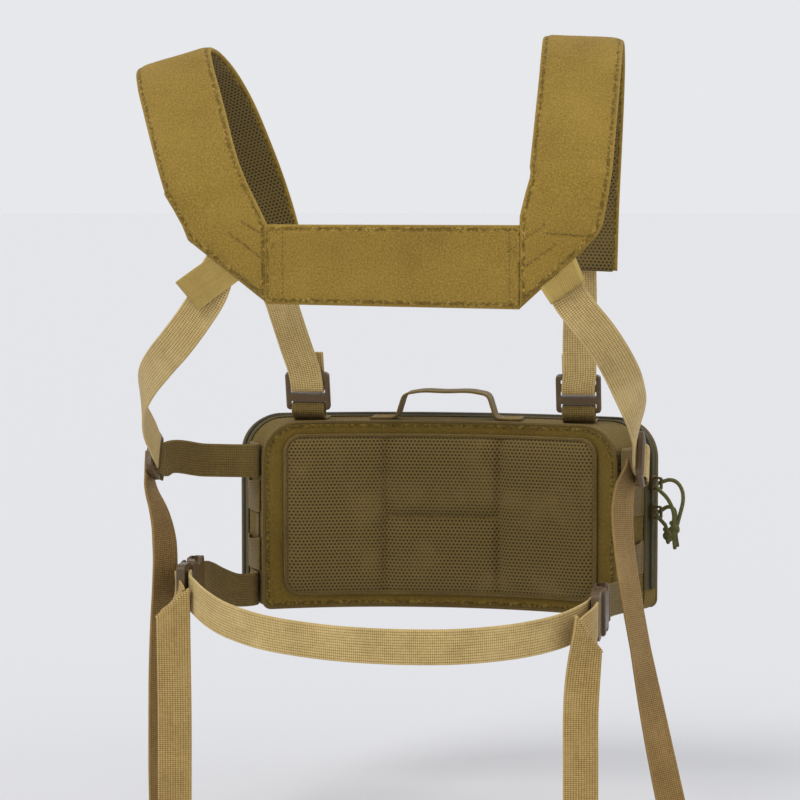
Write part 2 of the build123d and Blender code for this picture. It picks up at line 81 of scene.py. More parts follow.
camera_data = bpy.data.cameras.new("camera")
camera_data.lens = LENS_MM
camera_data.sensor_width = 36
camera = bpy.data.objects.new("camera", camera_data)
bpy.context.scene.collection.objects.link(camera)
look = Vector((-math.sin(AZIMUTH) * math.cos(ELEVATION), math.cos(AZIMUTH) * math.cos(ELEVATION),
               -math.sin(ELEVATION)))
aside = Vector((math.cos(AZIMUTH), math.sin(AZIMUTH), 0))
camera.location = Vector((math.sin(AZIMUTH), -math.cos(AZIMUTH), 0)) * CAMERA_DISTANCE
camera.location += aside * CAMERA_ASIDE + Vector((0, 0, CAMERA_HEIGHT))
camera.rotation_euler = look.to_track_quat("-Z", "Y").to_euler()
bpy.context.scene.camera = camera


# Materials --------------------------------------------------------------------------------------
def srgb(red, green, blue):
    """Linear colour of an sRGB one, each channel 0 to 255."""
    def linear(value):
        value /= 255
        return value / 12.92 if value <= 0.04045 else ((value + 0.055) / 1.055) ** 2.4
    return (linear(red), linear(green), linear(blue), 1.0)


class Shader:
    """One Principled material, built from short node expressions."""

    def __init__(self, name, roughness=0.85, metallic=0.0, specular=0.3, sheen=0.0):
        self.material = bpy.data.materials.new(name)
        self.material.use_nodes = True
        self.tree = self.material.node_tree
        self.tree.nodes.clear()
        self.bsdf = self.node("ShaderNodeBsdfPrincipled")
        output = self.node("ShaderNodeOutputMaterial")
        self.tree.links.new(self.bsdf.outputs[0], output.inputs[0])
        self.bsdf.inputs["Roughness"].default_value = roughness
        self.bsdf.inputs["Metallic"].default_value = metallic
        self.bsdf.inputs["Specular IOR Level"].default_value = specular
        self.bsdf.inputs["Sheen Weight"].default_value = sheen
        self.bsdf.inputs["Sheen Roughness"].default_value = 0.5

    def node(self, kind, **settings):
        made = self.tree.nodes.new(kind)
        for key, value in settings.items():
            setattr(made, key, value)
        return made

    def feed(self, socket, value):
        if isinstance(value, bpy.types.NodeSocket):
            self.tree.links.new(value, socket)
        else:
            socket.default_value = value

    def math(self, operation, *values):
        made = self.node("ShaderNodeMath", operation=operation)
        for socket, value in zip(made.inputs, values):
            self.feed(socket, value)
        return made.outputs[0]

    def times(self, first, second):
        return self.math("MULTIPLY", first, second)

    def plus(self, first, second):
        return self.math("ADD", first, second)

    def minus(self, first, second):
        return self.math("SUBTRACT", first, second)

    def wave(self, value):
        """Half a sine over each unit of value."""
        return self.math("SINE", self.times(self.math("FRACT", value), math.pi))

    def mix(self, factor, first, second):
        made = self.node("ShaderNodeMix", data_type="RGBA")
        self.feed(made.inputs[0], factor)
        self.feed(made.inputs[6], first)
        self.feed(made.inputs[7], second)
        return made.outputs[2]

    def fade(self, first, second, value, low, high, most=1.0):
        """Mix of the first colour into the second as value goes from low to high, up to a share of most."""
        return self.mix(self.step(value, low, high, 0.0, most), first, second)

    def step(self, value, low, high, to_low=0.0, to_high=1.0):
        """Smooth step of value from low to high."""
        made = self.node("ShaderNodeMapRange", interpolation_type="SMOOTHSTEP")
        for socket, number in zip(made.inputs, (value, low, high, to_low, to_high)):
            self.feed(socket, number)
        return made.outputs[0]

    def uv(self):
        """Along-the-width and along-the-length coordinates, in metres."""
        split = self.node("ShaderNodeSeparateXYZ")
        self.feed(split.inputs[0], self.node("ShaderNodeUVMap", uv_map="cloth").outputs[0])
        return split.outputs[0], split.outputs[1]

    def attribute(self, name):
        return self.node("ShaderNodeAttribute", attribute_name=name).outputs["Fac"]

    def place(self, stretch=(1, 1, 1), cloth=False):
        """Object or cloth coordinates, stretched."""
        made = self.node("ShaderNodeMapping")
        if cloth:
            self.feed(made.inputs[0], self.node("ShaderNodeUVMap", uv_map="cloth").outputs[0])
        else:
            self.feed(made.inputs[0], self.node("ShaderNodeTexCoord").outputs["Object"])
        made.inputs["Scale"].default_value = stretch
        return made.outputs[0]

    def noise(self, scale, stretch=(1, 1, 1), detail=2.0, cloth=False):
        made = self.node("ShaderNodeTexNoise")
        self.feed(made.inputs["Vector"], self.place(stretch, cloth))
        made.inputs["Scale"].default_value = scale
        made.inputs["Detail"].default_value = detail
        return made.outputs[0]

    def finish(self, colour, height=None, distance=0.0003, strength=1.0, roughness=None):
        self.feed(self.bsdf.inputs["Base Color"], colour)
        if roughness is not None:
            self.feed(self.bsdf.inputs["Roughness"], roughness)
        if height is not None:
            bump = self.node("ShaderNodeBump")
            bump.inputs["Distance"].default_value = distance
            bump.inputs["Strength"].default_value = strength
            self.feed(bump.inputs["Height"], height)
            self.feed(self.bsdf.inputs["Normal"], bump.outputs[0])
        return self.material


def tint(colour, factor):
    return (colour[0] * factor, colour[1] * factor, colour[2] * factor, 1.0)


SELVEDGE = (0.0112, 0.0123)
SPACER_CELL = 0.0029
BRAID_RATE = 5200.0


def webbing_material(name, mid, dark, light, column=0.0019, pick=0.00145, relief=0.0005):
    """Woven webbing: columns of short floats along the length, crossed by picks, with painted shade in the
    grooves between them.
    """
    mid, dark, light = (srgb(*colour) for colour in (mid, dark, light))
    shader = Shader(name, roughness=0.66, specular=0.22, sheen=0.08)
    across, along = shader.uv()
    columns = shader.math("DIVIDE", across, column)
    picks = shader.math("DIVIDE", along, pick)
    ridge = shader.wave(columns)
    float_shape = shader.wave(picks)
    height = shader.times(shader.math("POWER", ridge, 0.45), shader.math("POWER", float_shape, 0.5))
    cell = shader.node("ShaderNodeCombineXYZ")
    shader.feed(cell.inputs[0], shader.math("FLOOR", columns))
    shader.feed(cell.inputs[1], shader.math("FLOOR", picks))
    odd_thread = shader.node("ShaderNodeTexWhiteNoise", noise_dimensions="2D")
    shader.feed(odd_thread.inputs["Vector"], cell.outputs[0])
    # Painted shade: the grooves between floats and picks are darkened where the bump is low.
    colour = shader.mix(shader.step(height, 0.2, 0.75), dark, mid)
    colour = shader.mix(shader.times(odd_thread.outputs[0], 0.22), colour, light)
    patches = shader.noise(30, detail=3)
    colour = shader.fade(colour, light, patches, 0.5, 0.75, 0.25)
    colour = shader.fade(colour, dark, patches, 0.5, 0.25, 0.22)
    runs = shader.noise(1, (300, 30, 1), cloth=True)
    colour = shader.fade(colour, dark, runs, 0.45, 0.75, 0.15)
    side = shader.math("ABSOLUTE", shader.minus(across, CLOTH_ORIGIN))
    selvedge = shader.step(side, *SELVEDGE)
    colour = shader.mix(shader.times(selvedge, 0.35), colour, light)
    fibre = shader.times(shader.noise(5200, detail=1), 0.25)
    return shader.finish(colour, shader.plus(height, fibre), relief, 0.8)


def cloth_material(name, mid, dark, light, yarn=0.00052, relief=0.00022, coarse=0.3):
    """Plain weave with painted shade between the yarns, lighter towards the edges, and a puckered seam beside
    them with painted shade in its pits and painted highlights on its raised tufts.
    """
    mid, dark, light = (srgb(*colour) for colour in (mid, dark, light))
    shader = Shader(name, roughness=0.84, specular=0.12, sheen=0.06)
    across, along = shader.uv()
    warp = shader.math("SINE", shader.times(across, 2 * math.pi / yarn))
    weft = shader.math("SINE", shader.times(along, 2 * math.pi / yarn))
    weave = shader.plus(0.5, shader.times(shader.times(warp, weft), 0.5))
    grain_along = shader.noise(1, (1000, 620, 1), cloth=True)
    grain_across = shader.noise(1, (640, 1050, 1), cloth=True)
    slubs = shader.times(shader.plus(grain_along, grain_across), 0.5)
    colour = shader.mix(shader.step(slubs, 0.34, 0.66), tint(mid, 0.8), tint(mid, 1.18))
    # Painted shade: the low checks of the weave, between the yarns, are darkened.
    colour = shader.mix(shader.times(shader.step(weave, 0.5, 0.0), coarse), colour, dark)
    flecks = shader.noise(760, detail=2)
    colour = shader.fade(colour, light, flecks, 0.52, 0.7, 0.32)
    colour = shader.fade(colour, dark, flecks, 0.48, 0.3, 0.25)
    patches = shader.noise(20, detail=4)
    colour = shader.fade(colour, light, patches, 0.5, 0.72, 0.2)
    colour = shader.fade(colour, dark, patches, 0.5, 0.3, 0.2)
    edge = shader.attribute("edge")
    speckle = shader.noise(430, detail=2)
    # Painted shade and highlight on the puckered seam: its low pits are darkened and its raised tufts
    # lightened, following the speckle that also shapes the bump.
    seam = shader.times(shader.step(edge, 1.0, 2.4), shader.step(edge, 5.2, 3.4))
    pit_painted_shade = shader.times(seam, shader.step(speckle, 0.56, 0.4))
    tuft_painted_highlight = shader.times(seam, shader.step(speckle, 0.56, 0.68))
    colour = shader.mix(shader.times(pit_painted_shade, 0.6), colour, tint(dark, 0.6))
    colour = shader.mix(shader.times(tuft_painted_highlight, 0.7), colour, light)
    # Lighter within about a millimetre of the edges.
    colour = shader.fade(colour, light, edge, 1.2, 0.2, 0.25)
    fibre = shader.times(shader.noise(3000, detail=2), 0.6)
    height = shader.plus(shader.plus(weave, fibre), shader.times(slubs, 1.2))
    height = shader.plus(height, shader.times(shader.times(seam, speckle), 5.0))
    return shader.finish(colour, height, relief, 0.9)


def spacer_material(name, mid, dark, light):
    """Knitted spacer mesh: staggered rows of small holes, darkened as painted shade."""
    mid, dark, light = (srgb(*colour) for colour in (mid, dark, light))
    shader = Shader(name, roughness=0.9, specular=0.12, sheen=0.08)
    across, along = shader.uv()
    rows = shader.math("DIVIDE", along, SPACER_CELL * 0.87)
    odd = shader.math("MODULO", shader.math("FLOOR", rows), 2.0)
    places = shader.plus(shader.math("DIVIDE", across, SPACER_CELL), shader.times(odd, 0.5))
    side = shader.minus(shader.math("FRACT", places), 0.5)
    rise = shader.minus(shader.math("FRACT", rows), 0.5)
    spread = shader.math("SQRT", shader.plus(shader.times(side, side), shader.times(rise, rise)))
    # Painted shade: the holes are darkened, standing in for the shade inside them.
    solid = shader.step(spread, 0.18, 0.36)
    colour = shader.mix(solid, dark, mid)
    patches = shader.noise(26, detail=3)
    colour = shader.fade(colour, light, patches, 0.5, 0.75, 0.35)
    knit = shader.times(shader.noise(2400, detail=1), 0.4)
    return shader.finish(colour, shader.plus(solid, knit), 0.0006, 0.9)


def cord_material(name, mid, dark, light):
    """Braided sheath: two crossing sets of strands round the cord, with painted shade between them."""
    mid, dark, light = (srgb(*colour) for colour in (mid, dark, light))
    shader = Shader(name, roughness=0.7, specular=0.25, sheen=0.1)
    across, along = shader.uv()
    first = shader.math("SINE", shader.times(shader.plus(across, along), BRAID_RATE))
    second = shader.math("SINE", shader.times(shader.minus(across, along), BRAID_RATE))
    height = shader.math("MAXIMUM", first, second)
    # Painted shade: the low parts between the strands are darkened.
    colour = shader.mix(shader.step(height, 0.0, 0.9), dark, mid)
    specks = shader.noise(900, detail=1)
    colour = shader.fade(colour, light, specks, 0.55, 0.7, 0.5)
    return shader.finish(colour, height, 0.0002, 0.9)


def plastic_material(name, mid, light):
    """Moulded plastic with a fine spark finish and pale scuffs."""
    shader = Shader(name, roughness=0.42, specular=0.45)
    spark = shader.noise(2600, detail=2)
    scuffs = shader.noise(240, (1, 1, 5), detail=5)
    colour = shader.mix(shader.step(shader.noise(30, detail=3), 0.35, 0.7), tint(mid, 0.85), tint(mid, 1.15))
    colour = shader.fade(colour, light, scuffs, 0.6, 0.72, 0.5)
    roughness = shader.step(scuffs, 0.45, 0.7, 0.36, 0.62)
    return shader.finish(colour, spark, 0.00012, 0.8, roughness)


def metal_material(name, paint, bare, wear=0.6):
    """Painted metal whose paint is rubbed through in places."""
    shader = Shader(name, roughness=0.4, metallic=0.7, specular=0.5)
    rubbed = shader.step(shader.noise(420, detail=5), wear, wear + 0.08)
    colour = shader.mix(rubbed, paint, bare)
    roughness = shader.step(rubbed, 0.0, 1.0, 0.5, 0.28)
    return shader.finish(colour, shader.noise(1500, detail=2), 0.0001, 0.5, roughness)


def thread_material(name, scale, dark, light):
    """Mottled sewing thread."""
    shader = Shader(name, roughness=0.65, specular=0.3)
    return shader.finish(shader.mix(shader.noise(scale), dark, light))


strap_cloth = cloth_material("strap_cloth", (156, 127, 55), (92, 69, 22), (190, 159, 80))
tab_cloth = webbing_material("tab_grosgrain", (176, 150, 80), (118, 94, 42), (198, 172, 100),
                             column=0.0013, pick=0.0009, relief=0.00025)
# One webbing in three copies: the straps' copy is lightened as painted light from the upper left, the waist
# copy is the middle tone, and the side tails' copy is darkened as painted shade.
strap_webbing_painted_light = webbing_material("strap_webbing_painted_light", (204, 176, 112), (116, 90, 46), (230, 204, 146))
waist_webbing = webbing_material("waist_webbing", (180, 149, 86), (94, 70, 32), (210, 181, 120))
tail_webbing_painted_shade = webbing_material("tail_webbing_painted_shade", (150, 118, 62), (82, 56, 24), (178, 146, 88))
# The pack cloth has its own darker tone and is darkened a little further as painted shade.
pack_cloth = cloth_material("pack_cloth", (114, 92, 36), (64, 49, 16), (144, 120, 56), yarn=0.0006)
pack_webbing = webbing_material("pack_webbing", (114, 92, 40), (60, 46, 16), (140, 116, 58))
lining_cloth = cloth_material("lining_cloth", (112, 94, 52), (68, 54, 28), (138, 118, 72), yarn=0.0006)
spacer_mesh = spacer_material("spacer_mesh", (112, 94, 52), (46, 36, 16), (132, 112, 66))
elastic_cloth = webbing_material("elastic_cloth", (92, 78, 46), (46, 38, 20), (116, 100, 62),
                                 column=0.0014, pick=0.0009)
pile_cloth = cloth_material("pile_cloth", (118, 99, 48), (60, 48, 20), (150, 130, 74),
                            yarn=0.0016, relief=0.0006, coarse=0.7)
zip_cloth = webbing_material("zip_cloth", (72, 66, 32), (38, 34, 16), (92, 84, 46),
                             column=0.0009, pick=0.0012, relief=0.00015)
braid = cord_material("braid", (108, 106, 50), (44, 44, 18), (146, 142, 78))
coil = plastic_material("zip_coil", srgb(70, 62, 32), srgb(116, 104, 62))
buckle_plastic = plastic_material("moulded_plastic", srgb(88, 68, 40), srgb(126, 104, 70))
slider_metal = metal_material("slider_paint", srgb(92, 78, 40), srgb(170, 150, 104))
grommet_metal = metal_material("grommet_finish", srgb(118, 96, 52), srgb(190, 164, 104), 0.52)
thread = thread_material("thread", 900, srgb(130, 102, 44), srgb(194, 162, 88))
dark_thread = thread_material("dark_thread", 420, srgb(70, 52, 20), srgb(158, 130, 62))


# Mesh tools -------------------------------------------------------------------------------------
def add_piece(name, points, faces, material, body, nodes=(), uv=None, edge=None, ride=True):
    """Mesh object from points in millimetres, with cloth coordinates in metres."""
    mesh = bpy.data.meshes.new(name)
    points = np.asarray(points, float) * MM
    mesh.from_pydata(points.tolist(), [], [tuple(int(i) for i in face) for face in faces])
    loop_points = np.zeros(len(mesh.loops), int)
    mesh.loops.foreach_get("vertex_index", loop_points)
    layer = mesh.uv_layers.new(name="cloth")
    if uv is None:
        uv = points[:, :2] / MM
    layer.data.foreach_set("uv", (np.asarray(uv, float)[loop_points] * MM + CLOTH_ORIGIN).ravel())
    values = np.full(len(points), FAR_FROM_EDGE) if edge is None else np.asarray(edge, float)
    mesh.attributes.new("edge", "FLOAT", "POINT").data.foreach_set("value", values)
    shaped = bmesh.new()
    shaped.from_mesh(mesh)
    bmesh.ops.recalc_face_normals(shaped, faces=shaped.faces)
    shaped.to_mesh(mesh)
    shaped.free()
    mesh.polygons.foreach_set("use_smooth", [True] * len(mesh.polygons))
    mesh.materials.append(material)
    piece = bpy.data.objects.new(name, mesh)
    bpy.context.scene.collection.objects.link(piece)
    if ride:
        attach(piece, body)
    if nodes:
        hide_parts(*nodes)
    return piece


def unit(rows):
    return rows / np.maximum(np.linalg.norm(rows, axis=-1, keepdims=True), 1e-9)


def lengths_along(line):
    """Distance run along a polyline at each of its points."""
    return np.concatenate([[0], np.cumsum(np.linalg.norm(np.diff(line, axis=0), axis=1))])


def at_lengths(where, run, rows):
    """Rows of numbers read off at given lengths."""
    return np.array([np.interp(where, run, column) for column in rows.T]).T


def even_points(line, count):
    """Points at even steps along a polyline."""
    line = np.asarray(line, float)
    run = lengths_along(line)
    return at_lengths(np.linspace(0, run[-1], count), run, line)


def dense(rows, step):
    """Even steps along a smooth curve through rows of numbers that each start with a position."""
    rows = np.asarray(rows, float)
    at = lengths_along(rows[:, :3])
    spans = np.linalg.norm(np.diff(rows[:, :3], axis=0), axis=1)
    slope = np.gradient(rows, at, axis=0)
    fine = np.linspace(0, at[-1], max(8, int(at[-1] / step * 5)))
    index = np.clip(np.searchsorted(at, fine, side="right") - 1, 0, len(at) - 2)
    size = spans[index][:, None]
    t = ((fine - at[index]) / spans[index])[:, None]
    curve = ((2 * t**3 - 3 * t**2 + 1) * rows[index] + (t**3 - 2 * t**2 + t) * slope[index] * size
             + (3 * t**2 - 2 * t**3) * rows[index + 1] + (t**3 - t**2) * slope[index + 1] * size)
    run = lengths_along(curve[:, :3])
    even = np.linspace(0, run[-1], max(3, int(round(run[-1] / step)) + 1))
    return at_lengths(even, run, curve), even


def tube_faces(rings, sides, closed=False, base=0):
    """Faces between rings of points numbered from base, with the two caps of an open tube."""
    faces = []
    for ring in range(rings if closed else rings - 1):
        here, after = base + ring * sides, base + (ring + 1) % rings * sides
        for k in range(sides):
            beside = (k + 1) % sides
            faces.append((here + k, here + beside, after + beside, after + k))
    if not closed:
        last = base + (rings - 1) * sides
        faces += [tuple(range(base, base + sides)), tuple(range(last, last + sides))]
    return faces


def facing(points, across):
    """Stations of a strap whose direction across is the same all along."""
    return [(point, across) for point in points]


def frames(stations, step):
    """Centres, directions across, outward normals and lengths along stations of (centre, across)."""
    rows, run = dense([list(centre) + list(across) for centre, across in stations], step)
    centres = rows[:, :3]
    tangents = unit(np.gradient(centres, axis=0))
    across = rows[:, 3:] - tangents * np.sum(rows[:, 3:] * tangents, axis=1, keepdims=True)
    across = unit(across)
    return centres, across, np.cross(tangents, across), run


def wobble(points, scale, size, seed):
    """Smooth pseudo-random number for each point, from -size to size."""
    flat = np.asarray(points, float).reshape(-1, 3)
    offset = Vector((seed * 7.3, seed * 3.1, seed * 5.7))
    values = [noise.noise(Vector(point) * scale + offset) for point in flat]
    return (np.array(values) * size).reshape(np.asarray(points).shape[:-1])


def slab_mesh(top, bottom):
    """Points and faces of a closed slab between two grids of points of the same shape."""
    rows, columns = top.shape[:2]
    points = np.concatenate([top.reshape(-1, 3), bottom.reshape(-1, 3)])
    under = rows * columns
    index = np.arange(under).reshape(rows, columns)
    faces = []
    for row in range(rows - 1):
        for column in range(columns - 1):
            a, b = index[row, column], index[row, column + 1]
            c, d = index[row + 1, column + 1], index[row + 1, column]
            faces += [(a, b, c, d), (a + under, d + under, c + under, b + under)]
    rim = [*index[0, :], *index[1:, -1], *index[-1, -2::-1], *index[-2:0:-1, 0]]
    for here, after in zip(rim, rim[1:] + rim[:1]):
        faces.append((after, here, here + under, after + under))
    return points, faces


def add_slab(name, grid, normals, up, down, uv, material, body, nodes=(), edge=None, ride=True):
    """Closed slab round a grid of points, up and down giving its height on each side of the grid."""
    top = grid + normals * up[..., None]
    bottom = grid - normals * down[..., None]
    points, faces = slab_mesh(top, bottom)
    both = np.concatenate([uv.reshape(-1, 2)] * 2)
    rims = None if edge is None else np.concatenate([edge.ravel(), edge.ravel()])
    return add_piece(name, points, faces, material, body, nodes, both, rims, ride)


RIBBON_COLUMNS = np.array([-1, -0.985, -0.93, -0.8, -0.55, -0.28, 0, 0.28, 0.55, 0.8, 0.93, 0.985, 1])
RIBBON_HEIGHTS = np.array([0.35, 0.8, 1, 1, 1, 1, 1, 1, 1, 1, 1, 0.8, 0.35])
RIBBON_CURL = (RIBBON_COLUMNS ** 2 - 0.4)[None, :]


def add_ribbon(name, stations, body, nodes=(), material=None, width=WEBBING,
               thick=WEBBING_THICK, step=2.5, cup=0.0, ripple=0.12, seed=1):
    """Strip of webbing through stations of (centre, across); cup curls it, ripple makes it uneven."""
    centres, across, normals, run = frames(stations, step)
    u = RIBBON_COLUMNS * width / 2
    grid = centres[:, None] + across[:, None] * u[None, :, None]
    normal_grid = np.repeat(normals[:, None], len(u), axis=1)
    curl = cup * RIBBON_CURL
    grid = grid + normal_grid * (curl + wobble(grid, 0.035, ripple, seed))[..., None]
    half = np.repeat(RIBBON_HEIGHTS[None, :] * thick / 2, len(run), axis=0)
    uv = np.stack(np.meshgrid(u, run), axis=-1)
    # Ribbons given no material take the strap webbing copy that is lightened as painted light.
    return add_slab(name, grid, normal_grid, half, half, uv, material or strap_webbing_painted_light, body, nodes)


def surface_of(piece):
    """Search tree of a piece's own mesh, in metres."""
    mesh = piece.data
    return BVHTree.FromPolygons([v.co.copy() for v in mesh.vertices], [p.vertices[:] for p in mesh.polygons])


def along(line, pitch):
    """Even steps of about a pitch along a polyline."""
    line = np.asarray(line, float)
    return even_points(line, max(2, int(round(lengths_along(line)[-1] / pitch)) + 1))


# Pitch, length and radius of each kind of stitch
STRAP_STITCH, ROOT_STITCH, BOX_STITCH = (3.1, 2.3, 0.3), (2.2, 1.7, 0.5), (2.6, 1.9, 0.27)
PAD_STITCH, PACK_STITCH, PATCH_STITCH = (3.4, 2.4, 0.32), (3.2, 2.2, 0.26), (2.8, 2.0, 0.28)
TAPE_STITCH, ROW_TACK = (3.0, 2.1, 0.25), (3.0, 1.9, 0.24)
SIDE_TACK, SEAM_TACK = (3.0, 1.7, 0.24), (3.0, 1.5, 0.26)
THREAD_HEIGHTS, THREAD_SIDES, RAY_REACH = (-0.25, 0.16, 0.24, 0.16, -0.25), 5, 12


def add_stitches(name, surface, lines, body, outward, kind, material=None):
    """Short threads along lines, laid on a surface that they reach from outside it.
    outward is one direction, or one for each line."""
    pitch, length, radius = kind
    points, faces = [], []
    rng = np.random.default_rng(3)
    single = np.ndim(outward[0]) == 0
    for number, line in enumerate(lines):
        out = Vector(outward if single else outward[number]).normalized()
        for first, second in zip(along(line, pitch), along(line, pitch)[1:]):
            middle = Vector((first + second) / 2) + Vector(rng.normal(0, 0.12, 3))
            direction = Vector(second - first).normalized()
            side = direction.cross(out).normalized()
            for part, height in enumerate(THREAD_HEIGHTS):
                spot = middle + direction * length * (part / 4 - 0.5)
                hit = surface.ray_cast((spot + out * RAY_REACH) * MM, -out, 2 * RAY_REACH * MM)[0]
                if hit is None:
                    hit = spot * MM
                centre = hit / MM + out * height
                for corner in range(THREAD_SIDES):
                    turn = corner * math.tau / THREAD_SIDES
                    rise = side * math.cos(turn) + out * math.sin(turn)
                    points.append(centre + rise * radius * (0.7 if part in (0, 4) else 1))
            rings = len(THREAD_HEIGHTS)
            faces += tube_faces(rings, THREAD_SIDES, base=len(points) - rings * THREAD_SIDES)
    return add_piece(name, np.array([tuple(p) for p in points]), faces, material or thread, body)


def box_stitch(name, piece, centre, x_dir, y_dir, out, width, height):
    """Box of stitches with its diagonals, on the harness."""
    centre, x_dir, y_dir = (np.asarray(value, float) for value in (centre, x_dir, y_dir))
    x_dir, y_dir = unit(x_dir) * width / 2, unit(y_dir) * height / 2
    corners = [centre + x_dir * a + y_dir * b for a, b in ((-1, -1), (1, -1), (1, 1), (-1, 1))]
    lines = [[corners[k], corners[(k + 1) % 4]] for k in range(4)]
    lines += [[corners[0], corners[2]], [corners[1], corners[3]]]
    add_stitches(name, surface_of(piece), lines, "harness", out, BOX_STITCH)


TACK_PITCH = 0.75


def bar_tack(start, end, sideways, width=2.0):
    """Zigzag lines of a bar tack."""
    start, end = np.asarray(start, float), np.asarray(end, float)
    count = int(np.linalg.norm(end - start) / TACK_PITCH)
    steps = np.linspace(0, 1, count + 1)[:, None]
    swing = np.where(np.arange(count + 1) % 2, 0.5, -0.5)[:, None] * width
    points = start + (end - start) * steps + np.asarray(sideways, float) * swing
    return [[a, b] for a, b in zip(points, points[1:])]


BRAID_PITCH, STRANDS = 1.7, 4


def add_tube(name, line, radius, body, material, nodes=(), sides=14, closed=False, braid_depth=0.0,
             taper=None):
    """Round tube along points; braid_depth raises crossing strands on it."""
    line = np.asarray(line, float)
    count = len(line)
    if closed:
        tangents = unit(np.roll(line, -1, axis=0) - np.roll(line, 1, axis=0))
    else:
        tangents = unit(np.gradient(line, axis=0))
    start = np.cross(tangents[0], (0.3, 0.2, 1.0))
    first = [unit(start)]
    for k in range(1, count):
        kept = first[-1] - tangents[k] * np.dot(first[-1], tangents[k])
        first.append(unit(kept))
    first = np.array(first)
    second = np.cross(tangents, first)
    run = lengths_along(line)
    turns = np.arange(sides) * math.tau / sides
    radii = np.full(count, radius) if taper is None else radius * np.asarray(taper)
    spread = radii[:, None] * np.ones(sides)[None, :]
    if braid_depth:
        phase = run[:, None] * math.pi / BRAID_PITCH
        crossing = np.maximum(np.sin(turns * STRANDS + phase), np.sin(turns * STRANDS - phase))
        spread = spread + braid_depth * crossing
        spread = spread - braid_depth * 0.6
    points = (line[:, None] + first[:, None] * (np.cos(turns)[None, :] * spread)[..., None]
              + second[:, None] * (np.sin(turns)[None, :] * spread)[..., None])
    uv = np.stack(np.broadcast_arrays(turns[None, :] * radius, run[:, None]), axis=-1)
    return add_piece(name, points.reshape(-1, 3), tube_faces(count, sides, closed), material, body,
                     nodes, uv.reshape(-1, 2))


def soften_hard_part(node, material, bevel):
    """Keep a CAD part: give it its finish and round its edges a little."""
    part = NODES[node]
    for holder in part.material_slots:
        holder.material = material
    if bevel:
        rounding = part.modifiers.new("rounding", "BEVEL")
        rounding.width = bevel * MM
        rounding.segments = 2
        rounding.limit_method = "ANGLE"
        rounding.angle_limit = math.radians(35)
        rounding.harden_normals = False


RIM_SHARE = 0.35
SEAM_INSET = 3.0


def profile(distance, full, reach=9.0):
    """Height of a stuffed, topstitched edge: thin rim, dip at the seam, then up to full."""
    rise = np.clip(distance / reach, 0, 1)
    height = full * (RIM_SHARE + (1 - RIM_SHARE) * np.sin(rise * math.pi / 2) ** 0.8)
    dip = 0.16 * full * np.exp(-((distance - SEAM_INSET) / 0.9) ** 2)
    round_off = np.sqrt(np.clip(distance / 0.8, 0.0, 1))
    return (height - dip) * (0.35 + 0.65 * round_off)


# Free ends and cord pulls -----------------------------------------------------------------------
def route_line(name, route):
    """Points along the NURBS curve with the route's points as its control points, in millimetres."""
    data = bpy.data.curves.new(name, "CURVE")
    data.dimensions = "3D"
    spline = data.splines.new("NURBS")
    spline.points.add(len(route) - 1)
    for point, place in zip(spline.points, route):
        point.co = (*place, 1)
    spline.order_u = 3
    spline.use_endpoint_u = True
    spline.resolution_u = 12
    holder = bpy.data.objects.new(name, data)
    mesh = bpy.data.meshes.new_from_object(holder)
    line = np.array([tuple(v.co) for v in mesh.vertices]) / MM
    bpy.data.objects.remove(holder)
    bpy.data.curves.remove(data)
    bpy.data.meshes.remove(mesh)
    return line


def spread_across(line, route, across):
    """Stations along a route's line, with the route points' directions across eased between them."""
    at, known = (lengths_along(points) for points in (line, np.asarray(route, float)))
    return list(zip(line, at_lengths(at / at[-1], known / known[-1], np.asarray(across, float))))


def add_slanted(name, stations, slant, body, material, nodes=(), fold=0.0, cup=0.0, ripple=0.15, seed=1,
                step=2.5, ride=True):
    """Webbing whose first end is cut by a diagonal fold line: slant is the start's shift along the
    length for each millimetre across. With fold, that end rolls over by half a turn of that radius."""
    centres, across, normals, run = frames(stations, step)
    u = RIBBON_COLUMNS * WEBBING / 2
    rows = len(run)
    share = np.linspace(0, 1, rows)[:, None]
    begin = slant * u[None, :]
    s = begin + (run[-1] - begin) * share
    first_tangent = unit(centres[1] - centres[0])
    inside = np.clip(s, 0, run[-1])

    def sample(table):
        return np.stack([np.interp(inside.ravel(), run, table[:, k]).reshape(s.shape) for k in range(3)], -1)
    sides, outs = unit(sample(across)), unit(sample(normals))
    grid = sample(centres) + first_tangent * np.minimum(s, 0)[..., None] + sides * u[None, :, None]
    curl = cup * RIBBON_CURL * share
    grid = grid + outs * (curl + wobble(grid, 0.03, ripple, seed) * share)[..., None]
    if fold:
        away = unit(-first_tangent + unit(across[0]) * slant)
        turns = np.linspace(math.pi, 0, 6)[:-1, None, None]
        arc = grid[0][None] + away * (fold * np.sin(turns)) - outs[0][None] * (fold - fold * np.cos(turns))
        arc_normals = away * np.sin(turns) + outs[0][None] * np.cos(turns)
        grid = np.concatenate([arc, grid])
        outs = np.concatenate([arc_normals, outs])
        s = np.concatenate([s[0][None] - (turns[:, :, 0] * fold), s])
    half = np.repeat(RIBBON_HEIGHTS[None, :] * WEBBING_THICK / 2, len(grid), axis=0)
    uv = np.stack([np.repeat(u[None, :], len(grid), axis=0), s], axis=-1)
    return add_slab(name, grid, outs, half, half, uv, material, body, nodes, ride=ride)


HEM_LENGTH, HEM_OFFSET = 15.0, 1.85


def add_hem(name, stations, body, material):
    """Folded-over end of a strap, sewn down: a second layer behind the last of the stations."""
    centres, across, normals, run = frames(stations, 2.5)
    keep = run > run[-1] - HEM_LENGTH
    back = [(c - n * HEM_OFFSET, a) for c, a, n in zip(centres[keep], across[keep], normals[keep])]
    end = centres[-1] + unit(centres[-1] - centres[-2]) * 1.2
    back += [(end - normals[-1] * 0.95, across[-1]), (centres[-1] - normals[-1] * 0.1, across[-1])]
    return add_ribbon(name, back, body, material=material, thick=1.6, ripple=0.0, width=24.6), normals[-1]


